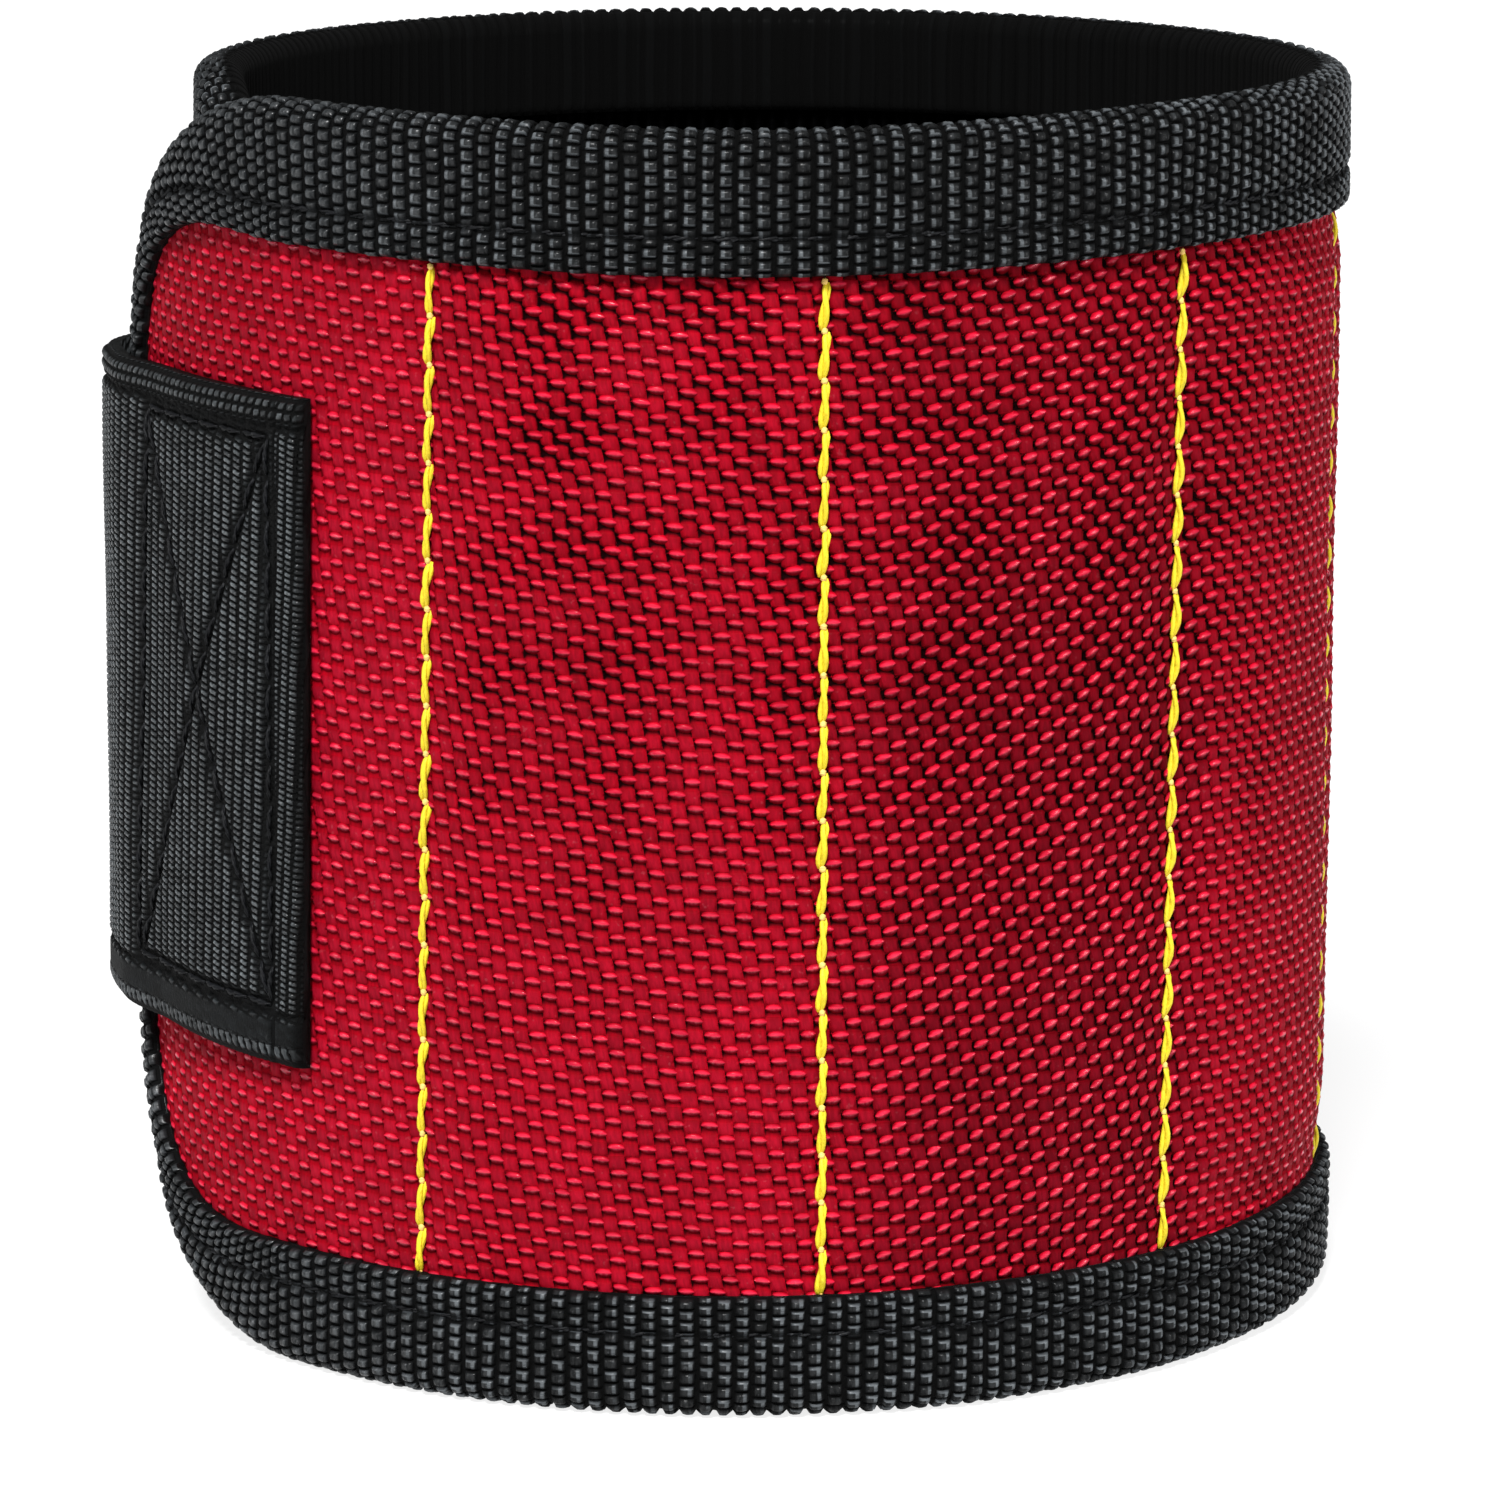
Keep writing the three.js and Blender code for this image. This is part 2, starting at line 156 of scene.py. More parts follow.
# The front of the rim hangs a little lower than the sides.
def rimDip(angle):
    fromFront = np.where(angle > 180, angle - 360, angle)
    return band["sideRise"] - band["frontDip"] * np.exp(-((fromFront / band["dipSpread"]) ** 2))


def ringPoint(angle, radius, height):
    turn = np.radians(angle)
    lifted = height + rimDip(angle) * height / band["height"]
    return np.stack([radius * np.sin(turn), -radius * np.cos(turn), lifted], -1) * mm


# Slow, smooth unevenness of cloth, from -1 to 1, about as long as size.
def ripple(s, t, size, seed):
    rng = np.random.default_rng(seed)
    ways, phases = rng.uniform(0, math.pi, 6), rng.uniform(0, 2 * math.pi, 6)
    total = 0 * s
    for way, phase, stretch in zip(ways, phases, rng.uniform(0.7, 1.6, 6)):
        along = s * math.cos(way) + t * math.sin(way)
        total = total + np.sin(along * 2 * math.pi / (size * stretch) + phase)
    return total / 4


# A fixed random number from 0 to 1 for each cell of a pattern.
def speckle(i, j, seed):
    return np.modf(np.abs(np.sin(i * 12.9898 + j * 78.233 + seed) * 43758.5453))[0]


def addObject(name, data):
    added = bpy.data.objects.new(name, data)
    scene.collection.objects.link(added)
    return added


# Camera, floor and light
studio = {
    "cameraAt": (0, -479.74, 133.38), "lens": 157.15, "sensor": 36, "clip": (0.01, 50),
    "lookAcross": 1.15, "lookUp": -6.38, "roll": 0.19,
    "floorSize": 9, "floorColour": (0.2, 0.2, 0.2, 1), "floorPatches": (0.24, 0.24, 0.24, 1),
    "floorGlow": 0.82, "skyStrength": 0.2,
    "sunStrength": 5.2, "sunTurn": -12, "sunRise": 52, "sunSpread": 14,
    "lamps": [("fillLight", (0.8, -0.45, 0.3), 4.6), ("sideLight", (-0.75, -0.3, 0.3), 1.7)],
    "lampSize": (0.3, 0.5), "lampAim": (0, 0, 0.045),
}


def lookFrame(place, target):
    ahead = (target - place).normalized()
    across = ahead.cross(Vector((0, 0, 1))).normalized()
    return ahead, across, across.cross(ahead)


def makeCamera():
    lens = bpy.data.cameras.new("studioCamera")
    lens.lens = studio["lens"]
    lens.sensor_width = studio["sensor"]
    lens.clip_start, lens.clip_end = studio["clip"]
    camera = addObject("studioCamera", lens)
    place = Vector(studio["cameraAt"]) * mm
    middle = Vector((0, 0, band["middle"])) * mm
    ahead, across, up = lookFrame(place, middle)
    target = middle + (across * studio["lookAcross"] + up * studio["lookUp"]) * mm
    ahead, across, up = lookFrame(place, target)
    tilt = math.radians(studio["roll"])
    right = across * math.cos(tilt) + up * math.sin(tilt)
    over = up * math.cos(tilt) - across * math.sin(tilt)
    turn = Matrix((right, over, -ahead)).transposed().to_4x4()
    camera.matrix_world = Matrix.Translation(place) @ turn
    scene.camera = camera


def addLamp(name, place, power):
    lamp = bpy.data.lights.new(name, "AREA")
    lamp.shape = "RECTANGLE"
    lamp.size, lamp.size_y = studio["lampSize"]
    lamp.energy = power
    light = addObject(name, lamp)
    light.location = place
    aim = Vector(studio["lampAim"]) - Vector(place)
    light.rotation_euler = aim.to_track_quat("-Z", "Y").to_euler()


def makeStudio():
    makeCamera()
    bpy.ops.object.select_all(action="DESELECT")
    bpy.ops.mesh.primitive_plane_add(size=studio["floorSize"], location=(0, 0, 0))
    floor = bpy.context.object
    floor.name = "floor"
    floor.data.materials.append(floorMaterial())
    sky = bpy.data.worlds.new("paleSky")
    sky.use_nodes = True
    background = sky.node_tree.nodes["Background"].inputs
    background["Color"].default_value = (1, 1, 1, 1)
    background["Strength"].default_value = studio["skyStrength"]
    scene.world = sky
    sun = bpy.data.lights.new("keySun", "SUN")
    sun.energy = studio["sunStrength"]
    sun.angle = math.radians(studio["sunSpread"])
    turn, rise = math.radians(studio["sunTurn"]), math.radians(studio["sunRise"])
    towards = Vector((math.sin(turn) * math.cos(rise), -math.cos(turn) * math.cos(rise), math.sin(rise)))
    addObject("keySun", sun).rotation_euler = towards.to_track_quat("Z", "Y").to_euler()
    for lamp in studio["lamps"]:
        addLamp(*lamp)
    scene.view_settings.view_transform = "Standard"
    scene.view_settings.look = "None"


# Materials
def feed(tree, value, socket):
    if isinstance(value, bpy.types.NodeSocket):
        tree.links.new(value, socket)
    else:
        socket.default_value = value


# A node with its settings, and what goes into its sockets, by name or as i and a number.
def put(tree, kind, settings=None, **wires):
    node = tree.nodes.new(kind)
    for key, value in (settings or {}).items():
        setattr(node, key, value)
    for key, value in wires.items():
        feed(tree, value, node.inputs[int(key[1:]) if key[1:].isdigit() else key])
    return node


def maths(tree, operation, a, b=0.0, c=0.0):
    return put(tree, "ShaderNodeMath", {"operation": operation}, i0=a, i1=b, i2=c).outputs[0]


def between(tree, value, low, high, toLow=0.0, toHigh=1.0):
    limits = {"From Min": low, "From Max": high, "To Min": toLow, "To Max": toHigh}
    node = put(tree, "ShaderNodeMapRange", {"interpolation_type": "SMOOTHSTEP"}, Value=value, **limits)
    return node.outputs["Result"]


def mixValue(tree, amount, a, b):
    return put(tree, "ShaderNodeMix", {"data_type": "FLOAT"}, i0=amount, i2=a, i3=b).outputs[0]


def mixColour(tree, amount, a, b):
    return put(tree, "ShaderNodeMix", {"data_type": "RGBA"}, i0=amount, i6=a, i7=b).outputs[2]


def noise(tree, **wires):
    return put(tree, "ShaderNodeTexNoise", **wires).outputs[0]


def useGroup(tree, group, **wires):
    return put(tree, "ShaderNodeGroup", {"node_tree": group}, **wires).outputs


def startGroup(name, inputs, outputs):
    group = bpy.data.node_groups.new(name, "ShaderNodeTree")
    sockets = group.interface
    sockets.new_socket("Vector", in_out="INPUT", socket_type="NodeSocketVector")
    for label, value in inputs.items():
        sockets.new_socket(label, in_out="INPUT", socket_type="NodeSocketFloat").default_value = value
    for label in outputs:
        sockets.new_socket(label, in_out="OUTPUT", socket_type="NodeSocketFloat")
    return group, group.nodes.new("NodeGroupInput").outputs, group.nodes.new("NodeGroupOutput").inputs


# Fine filaments that run along each yarn: along U for weft, along V for warp.
def makeFilaments():
    group, given, out = startGroup(
        "yarnFilaments", {"Kind": 0.0, "Fineness": 60.0, "Stretch": 0.12}, ("Height", "Shade"))
    flat = put(group, "ShaderNodeSeparateXYZ", Vector=given["Vector"]).outputs
    ways = []
    for x, y in ((flat[0], flat[1]), (flat[1], flat[0])):
        across = maths(group, "MULTIPLY", x, given["Fineness"])
        along = maths(group, "MULTIPLY", maths(group, "MULTIPLY", y, given["Fineness"]), given["Stretch"])
        point = put(group, "ShaderNodeCombineXYZ", X=across, Y=along).outputs[0]
        ways.append(noise(group, Vector=point, Scale=1.0, Detail=2.0, Roughness=0.55))
    chosen = mixValue(group, given["Kind"], *ways)
    feed(group, chosen, out["Height"])
    feed(group, between(group, chosen, 0.3, 0.7), out["Shade"])
    return group


# Pale lint caught on the crowns, and slow changes of tone over the cloth.
def makeHandling():
    group, given, out = startGroup(
        "handling", {"Crown": 0.5, "Lint": 0.3, "Patches": 60.0}, ("Lint", "Patch"))
    specks = between(group, noise(group, Vector=given["Vector"], Scale=2600.0, Detail=1.0), 0.66, 0.76)
    lint = maths(group, "MULTIPLY", specks, given["Lint"])
    feed(group, maths(group, "MULTIPLY", lint, between(group, given["Crown"], 0.4, 0.9)), out["Lint"])
    slow = noise(group, Vector=given["Vector"], Scale=given["Patches"], Detail=3.0)
    feed(group, between(group, slow, 0.32, 0.68), out["Patch"])
    return group


filaments = makeFilaments()
handling = makeHandling()


def newMaterial(name):
    material = bpy.data.materials.new(name)
    material.use_nodes = True
    tree = material.node_tree
    return material, tree, tree.nodes["Principled BSDF"].inputs


# Values kept at each point of the mesh.
def fields(tree, *labels):
    nodes = [put(tree, "ShaderNodeAttribute", {"attribute_name": label}) for label in labels]
    return [Wire(tree, node.outputs["Fac"]) for node in nodes]


# How high, which yarn, what tone and how lit each place is, where the mesh itself says so.
def plainPattern(tree, uv):
    return *fields(tree, "lift", "kind", "tone", "shade"), None


def clothMaterial(name, look, pattern=plainPattern):
    material, tree, shader = newMaterial(name)
    uv = put(tree, "ShaderNodeUVMap", {"uv_map": "cloth"}).outputs[0]
    place = put(tree, "ShaderNodeTexCoord").outputs["Object"]
    lift, kind, tone, shade, relief = pattern(tree, uv)
    crown = lift.socket
    yarn = useGroup(tree, filaments, Vector=uv, Kind=kind.socket, Fineness=look["fineness"],
                    Stretch=look["stretch"])
    worn = useGroup(tree, handling, Vector=place, Crown=crown, Lint=look["lint"], Patches=look["patches"])
    comb, strands, patch, lint = (
        Wire(tree, socket) for socket in (yarn["Shade"], yarn["Height"], worn["Patch"], worn["Lint"]))
    # Painted shade in the hollows between yarns and a painted highlight on their crowns, mixed by the
    # height of the yarns.
    base = mixColour(tree, between(tree, crown, *look["holeTo"]), look["hole"], look["body"])
    base = mixColour(tree, between(tree, crown, *look["crownFrom"]), base, look["crown"])
    if look["knot"]:
        base = mixColour(tree, kind.socket, base, look["knot"])
    # The shade field darkens the colour with painted shade, and kind lightens it with painted highlights
    # where a pattern gives them.
    strength = shade * (1 + kind * look["weftBright"])
    for value, spread in ((tone, "toneSpread"), (patch, "patchSpread"), (comb, "combSpread")):
        strength = strength * (1 + (value - 0.5) * look[spread])
    scaled = put(tree, "ShaderNodeVectorMath", {"operation": "SCALE"}, i0=base, Scale=strength.socket)
    dusted = mixColour(tree, (lint * shade).socket, scaled.outputs[0], look["lintColour"])
    feed(tree, dusted, shader["Base Color"])
    rough = Wire(tree, between(tree, crown, 0.2, 0.95, look["roughLow"], look["roughHigh"]))
    rough = rough + strands * look["roughComb"]
    lit = atMost(shade, 1.0).socket
    feed(tree, mixValue(tree, lit, 1.0, rough.socket), shader["Roughness"])  # dull where it is dark
    height = strands * look["strandDepth"]
    if relief:
        height = height + relief * look["relief"]
    bump = put(tree, "ShaderNodeBump", Strength=1.0, Distance=mm, Height=height.socket)
    feed(tree, bump.outputs[0], shader["Normal"])
    glint = smooth(lift, *look["glintFrom"]) * smooth(strands, 0.35, 0.6) * shade * look["coat"]
    feed(tree, atMost(glint, 1.0).socket, shader["Coat Weight"])
    feed(tree, look["coatRoughness"], shader["Coat Roughness"])
    feed(tree, look["specular"], shader["Specular IOR Level"])
    feed(tree, look["sheen"], shader["Sheen Weight"])
    feed(tree, 0.4, shader["Sheen Roughness"])
    return material


def colour(r, g, b):
    return (r, g, b, 1)


# A cloth's colours by the height of its yarns: the first is painted shade in the hollows between yarns,
# body is the yarn's own colour, and crown is a painted highlight on the yarn tops.
def lookOf(**changes):
    look = {
        "hole": (0.0008, 0.0009, 0.001), "body": (0.007, 0.0082, 0.009), "crown": (0.024, 0.027, 0.029),
        "holeTo": (0.1, 0.6), "crownFrom": (0.6, 1.0), "lintColour": (0.20, 0.21, 0.22), "knot": None,
        "toneSpread": 0.5, "patchSpread": 0.3, "combSpread": 0.5, "weftBright": 0.0,
        "lint": 0.3, "patches": 60.0, "fineness": 45.0, "stretch": 0.25,
        "roughLow": 0.8, "roughHigh": 0.42, "roughComb": 0.15, "strandDepth": 0.12, "relief": 0.0,
        "specular": 0.18, "sheen": 0.0, "coat": 0.6, "coatRoughness": 0.32, "glintFrom": (0.55, 0.95),
    }
    look.update(changes)
    for label in ("hole", "body", "crown", "lintColour", "knot"):
        look[label] = look[label] and colour(*look[label])
    return look


def floorMaterial():
    material, tree, shader = newMaterial("paleFloor")
    place = put(tree, "ShaderNodeTexCoord").outputs["Object"]
    slow = between(tree, noise(tree, Vector=place, Scale=3.0, Detail=2.0), 0.3, 0.7)
    feed(tree, mixColour(tree, slow, studio["floorColour"], studio["floorPatches"]), shader["Base Color"])
    feed(tree, 0.9, shader["Roughness"])
    feed(tree, 0.0, shader["Specular IOR Level"])
    feed(tree, colour(1, 1, 1), shader["Emission Color"])  # a pale table lit from below
    feed(tree, studio["floorGlow"], shader["Emission Strength"])
    return material


def nickelMaterial():
    material, tree, shader = newMaterial("nickel")
    place = put(tree, "ShaderNodeTexCoord").outputs["Object"]
    scratches = noise(tree, Vector=place, Scale=900.0, Detail=4.0)
    worn = useGroup(tree, handling, Vector=place, Crown=0.8, Lint=0.1, Patches=300.0)
    tint = mixColour(tree, worn["Patch"], colour(0.55, 0.55, 0.54), colour(0.68, 0.68, 0.66))
    feed(tree, tint, shader["Base Color"])
    feed(tree, between(tree, scratches, 0.3, 0.7, 0.18, 0.36), shader["Roughness"])
    bump = put(tree, "ShaderNodeBump", Strength=0.15, Distance=0.00003, Height=scratches)
    feed(tree, bump.outputs[0], shader["Normal"])
    feed(tree, 1.0, shader["Metallic"])
    return material


# The red cloth's weave, in cells of one warp by one weft yarn. Its yarns stand apart over the front,
# and are drawn aslant past the second seam.
redYarn = {
    "warp": 1.12, "weft": 0.93, "lean": 0.14, "drift": 0.03, "wobble": 0.1, "base": -0.12, "inMesh": 0.6,
    "warpTop": 0.1, "warpRound": 0.1, "warpHalf": 0.56, "warpThin": 0.21, "warpShift": 0.34,
    "warpDrop": 0.2, "weftTop": 0.12, "weftRound": 0.2, "weftHalf": 0.3, "weftRise": 0.17,
    "weftTilt": 0.52, "weftWide": 0.06, "weftPast": 0.02, "dive": 0.13, "diveOpen": 0.18,
    "lowest": -0.3, "warpShade": 0.52, "weftShade": 0.4,
    "opens": (-31, -22), "closes": (58, 74), "opensUp": (20, 65), "mostOpen": 0.9,
    "drawnFrom": (2, 20), "drawnTo": (44, 52), "drawnUp": (48, 72),
}


def yarnSwing(wave, top, dive):
    return powerOf(atLeast(wave, 0.0), 0.4) * top - powerOf(atLeast(0 - wave, 0.0), 0.7) * dive


# How far along its float a yarn still shows: 1 in the middle, 0 where it has gone under.
def floatLength(wave, past):
    return powerOf(atLeast((wave + past) / (1 + past), 0.0), 0.5)


# Height in mm, lift from 0 to 1, the upper side of the weft that gets a painted highlight, and where the
# weft is on top.
def weaveShape(u, v, apart, drawn):
    y = redYarn
    column, row = whole(u), whole(v)
    shifted = u + y["warpShift"] * apart
    warpColumn = whole(shifted)
    across = shifted - warpColumn - 0.5
    warpWave = (1 - 2 * odd(warpColumn)) * cosine((v - 0.5 + y["warpDrop"] * apart) * math.pi)
    weftWave = (2 * odd(row) - 1) * cosine((u - 0.5) * math.pi)
    side = sizeOf(across) / (y["warpHalf"] - y["warpThin"] * apart)
    dive = y["dive"] + y["diveOpen"] * atMost(apart + drawn * 0.5, 1.0)
    warp = yarnSwing(warpWave, y["warpTop"], dive) + y["warpRound"] * (1 - powerOf(side, 4.0))
    leaned = v - row - 0.5 - y["weftRise"] * (1 - apart) - (u - column - 0.5) * (drawn * y["weftTilt"])
    taper = floatLength(weftWave, y["weftPast"] + 0.5 * apart * (1 - drawn))
    thin = leaned / atLeast(taper * (y["weftHalf"] + y["weftWide"] * drawn), 0.02)
    weft = yarnSwing(weftWave, y["weftTop"], dive) + y["weftRound"] * (1 - thin * thin)
    height = atLeast(atLeast(warp, weft), y["lowest"])
    isWeft = smooth(weft - warp, -0.02, 0.02)
    lift = atMost(atLeast((height + 0.16 - 0.06 * apart) / 0.5, 0.0), 1.0)
    return height, lift, isWeft * smooth(leaned, -0.14, 0.06), isWeft


# Rounded bumps in columns, each column half a bump off the next, in cells of one bump.
def bumpShape(u, v, wide, tall, slant):
    column = whole(u)
    across = u - column - 0.5
    rowed = v + 0.5 * odd(column) + across * slant
    row = whole(rowed)
    up = rowed - row - 0.5
    shape = powerOf(dome(across, wide, 3.6) * dome(up, tall, 3.2), 0.5)
    return shape, across, up, column, row


# Painted highlights on a bump: one up its left side, and on some bumps one along its foot.
def bumpHighlights(across, up, tone):
    upright = smooth(0.16 - sizeOf(across + 0.16), 0.02, 0.1) * smooth(0.42 - sizeOf(up), 0.0, 0.1)
    level = smooth(0.15 - sizeOf(up + 0.27), 0.02, 0.1) * smooth(0.38 - sizeOf(across), 0.0, 0.1)
    return atMost(upright * smooth(tone, 0.05, 0.4) + level * smooth(tone, 0.5, 0.6), 1.0)


def cells(tree, uv):
    flat = put(tree, "ShaderNodeSeparateXYZ", Vector=uv).outputs
    return Wire(tree, flat[0]) * 10.0, Wire(tree, flat[1]) * 10.0


def cellTone(tree, column, row):
    cell = put(tree, "ShaderNodeCombineXYZ", X=column.socket, Y=row.socket).outputs[0]
    tone = put(tree, "ShaderNodeTexWhiteNoise", {"noise_dimensions": "2D"}, Vector=cell)
    return Wire(tree, tone.outputs["Value"])


def redPattern(tree, uv):
    u, v = cells(tree, uv)
    apart, drawn = fields(tree, "apart", "drawn")
    height, lift, lit, isWeft = weaveShape(u, v, apart, drawn)
    # Painted shade on the warp flats where the cloth is drawn aslant and on the lower half of each weft
    # float; the weft's upper half goes out as kind and gets a painted highlight.
    shade = 1 - (1 - isWeft) * (redYarn["warpShade"] * drawn) - (isWeft - lit) * redYarn["weftShade"]
    tone = cellTone(tree, whole(u), whole(v))
    return lift, lit, tone, shade, height * (0.5 + 0.5 * atMost(apart + drawn, 1.0))


# The rows of bumps as a node group, for the binding and the webbing.
def makeBumpRows():
    group, given, out = startGroup(
        "bumpRows", {"Wide": 0.84, "Tall": 0.9, "Slant": 0.0}, ("Shape", "Stroke", "Tone"))
    u, v = cells(group, given["Vector"])
    sizes = [Wire(group, given[label]) for label in ("Wide", "Tall", "Slant")]
    shape, across, up, column, row = bumpShape(u, v, *sizes)
    tone = cellTone(group, column, row)
    for label, value in (("Shape", shape), ("Stroke", bumpHighlights(across, up, tone)), ("Tone", tone)):
        feed(group, value.socket, out[label])
    return group


bumpRows = makeBumpRows()


# plain is 0 among the bumps and 1 on smooth cloth; the next field sinks stitch lines and folds and darkens
# them with painted shade, and the last scales the bumps' painted highlights.
def bumpPattern(wide, tall, slant):
    def pattern(tree, uv):
        rows = useGroup(tree, bumpRows, Vector=uv, Wide=wide, Tall=tall, Slant=slant)
        shape, drawnHighlights, tone = (Wire(tree, rows[label]) for label in ("Shape", "Stroke", "Tone"))
        plain, mask, shade, stroke = fields(tree, "plain", "mask", "shade", "stroke")
        lift = (shape + (0.55 - shape) * plain) * mask
        return lift, drawnHighlights * stroke, tone, shade, lift
    return pattern


tapeRows = {"wide": 0.8, "tall": 0.86, "slant": 0.0}
webbingRows = {"wide": 0.84, "tall": 0.78, "slant": 0.55}

makeStudio()
redCloth = clothMaterial("redFace", lookOf(
    hole=(0.005, 0.0, 0.0003), body=(0.2, 0.0002, 0.0048), crown=(0.31, 0.008, 0.026),
    holeTo=(0.0, 0.42), crownFrom=(0.5, 1.0), toneSpread=0.35, patchSpread=0.14, combSpread=0.35,
    lintColour=(0.5, 0.14, 0.17), lint=0.15, fineness=40.0, stretch=0.2, weftBright=0.6,
    roughLow=0.7, roughHigh=0.45, strandDepth=0.08, relief=0.6, specular=0.03, coat=1.0,
    coatRoughness=0.24, glintFrom=(0.7, 0.95)), redPattern)
bindingCloth = clothMaterial("blackBinding", lookOf(
    body=(0.009, 0.01, 0.011), crown=(0.019, 0.021, 0.0225), holeTo=(0.15, 0.65), toneSpread=0.6,
    weftBright=8.0, relief=0.3, strandDepth=0.1, specular=0.1, coat=0.7, coatRoughness=0.3),
    bumpPattern(**tapeRows))
liningCloth = clothMaterial("blackLining", lookOf(
    hole=(0.001, 0.001, 0.0012), body=(0.0055, 0.0055, 0.0064), crown=(0.017, 0.017, 0.019),
    lint=0.1, roughLow=0.95, roughHigh=0.8, specular=0.0, coat=0.0, fineness=30.0, stretch=0.4))
pileCloth = clothMaterial("loopPile", lookOf(
    hole=(0.001, 0.001, 0.0012), body=(0.006, 0.0063, 0.007), crown=(0.016, 0.0165, 0.018),
    roughLow=0.95, roughHigh=0.85, specular=0.15, sheen=0.05, fineness=40.0, stretch=0.9,
    strandDepth=0.3, coat=0.0))
webbingCloth = clothMaterial("blackWebbing", lookOf(
    hole=(0.0004, 0.0005, 0.0006), body=(0.0055, 0.0066, 0.0072), crown=(0.042, 0.047, 0.05),
    holeTo=(0.3, 0.75), crownFrom=(0.65, 0.98), roughLow=0.7, roughHigh=0.38, specular=0.12,
    coat=0.75, coatRoughness=0.22, weftBright=1.5, fineness=60.0, strandDepth=0.14, relief=0.24,
    toneSpread=0.9), bumpPattern(**webbingRows))
yellowThread = clothMaterial("yellowThread", lookOf(
    hole=(0.3, 0.2, 0.0), body=(0.64, 0.49, 0.012), crown=(0.74, 0.61, 0.04), knot=(0.75, 0.5, 0.14),
    holeTo=(0.0, 0.4), toneSpread=0.1, patchSpread=0.06, combSpread=0.22, lint=0.05,
    roughLow=0.5, roughHigh=0.4, fineness=60.0, stretch=0.3, coat=0.2))
blackThread = clothMaterial("blackThread", lookOf(
    hole=(0.0004, 0.0004, 0.0006), body=(0.0016, 0.0018, 0.0024), crown=(0.0045, 0.0052, 0.007),
    lint=0.1, roughLow=0.7, roughHigh=0.5, specular=0.15, coat=0.15, fineness=60.0, stretch=0.3))
foamPad = clothMaterial("greyFoam", lookOf(
    hole=(0.02, 0.02, 0.022), body=(0.05, 0.05, 0.054), crown=(0.075, 0.075, 0.08),
    roughLow=0.95, roughHigh=0.9, lint=0.1, fineness=30.0, stretch=1.0, strandDepth=0.15))
hookPlastic = clothMaterial("hookTape", lookOf(
    hole=(0.002, 0.002, 0.002), body=(0.006, 0.006, 0.0065), crown=(0.02, 0.02, 0.022),
    roughLow=0.5, roughHigh=0.35, lint=0.2, fineness=20.0, stretch=1.0, strandDepth=0.03))
nickel = nickelMaterial()
print("materials and studio ready")


# Cloth, built as sheets
def grid(across, up):
    return np.meshgrid(across, up, indexing="ij")


def evenLines(low, high, step):
    return np.linspace(low, high, max(2, int(round((high - low) / step)) + 1))


def gridFaces(index):
    a, b = index[:-1, :-1].ravel(), index[1:, :-1].ravel()
    c, d = index[1:, 1:].ravel(), index[:-1, 1:].ravel()
    return np.stack([a, b, c, d], 1)


# The points round a grid's edge, and how far round each one is, from 0 to 4.
def edgeLoop(index, rows, columns):
    alongS, alongT = rows / rows[-1], columns / columns[-1]
    ids = np.concatenate([index[:-1, 0], index[-1, :-1], index[:0:-1, -1], index[0, :0:-1]])
    return ids, np.concatenate([alongS[:-1], 1 + alongT[:-1], 3 - alongS[:0:-1], 4 - alongT[:0:-1]])


# Triangles between the front's edge and the back's, whatever their steps.
def joinEdges(front, back):
    (a, pa), (b, pb) = front, back
    a, b = np.append(a, a[0]), np.append(b, b[0])
    pa, pb = np.append(pa, 4.0), np.append(pb, 4.0)
    i, j, made = 0, 0, []
    while i < len(a) - 1 or j < len(b) - 1:
        if j == len(b) - 1 or (i < len(a) - 1 and pa[i] + pa[i + 1] <= pb[j] + pb[j + 1]):
            made.append((a[i + 1], a[i], b[j]))
            i += 1
        else:
            made.append((a[i], b[j], b[j + 1]))
            j += 1
    return np.array(made)


# Rows that lie about evenly along a line, by their number.
def fewOf(line, steps):
    places = np.linspace(line[0], line[-1], min(len(line), steps + 1))
    return np.unique([int(np.abs(line - place).argmin()) for place in places])


def signedVolume(points, triangles):
    p, q, r = (points[triangles[:, k]] for k in range(3))
    return float((p * np.cross(q, r)).sum() / 6)


def setFields(mesh, values):
    for label, numbers in values.items():
        layer = mesh.attributes.new(label, "FLOAT", "POINT")
        layer.data.foreach_set("value", numbers.astype(np.float32))


def makeMesh(name, points, quads, triangles, uv, values, normals, material):
    mesh = bpy.data.meshes.new(name)
    mesh.vertices.add(len(points))
    mesh.vertices.foreach_set("co", points.astype(np.float32).ravel())
    corners = np.concatenate([quads.ravel(), triangles.ravel()]).astype(np.int32)
    starts = np.concatenate([np.arange(len(quads)) * 4, len(quads) * 4 + np.arange(len(triangles)) * 3])
    mesh.loops.add(len(corners))
    mesh.loops.foreach_set("vertex_index", corners)
    mesh.polygons.add(len(starts))
    mesh.polygons.foreach_set("loop_start", starts.astype(np.int32))
    mesh.polygons.foreach_set("use_smooth", np.ones(len(starts), bool))
    mesh.update(calc_edges=True)
    layer = mesh.uv_layers.new(name="cloth")
    layer.data.foreach_set("uv", uv[corners].astype(np.float32).ravel())
    setFields(mesh, values)
    if normals is not None:
        mesh.normals_split_custom_set_from_vertices(normals.tolist())
    mesh.materials.append(material)
    return addObject(name, mesh)


# Many small closed shapes as one mesh: each part is its points and its triangles.
def shapesMesh(name, parts, uv, values, material):
    starts = np.cumsum([0] + [len(part[0]) for part in parts[:-1]])
    points = np.concatenate([part[0] for part in parts])
    triangles = np.concatenate([part[1] + start for part, start in zip(parts, starts)])
    if signedVolume(points, triangles) < 0:
        triangles = triangles[:, ::-1]
    return makeMesh(name, points, np.zeros((0, 4), int), triangles, uv, values, None, material)


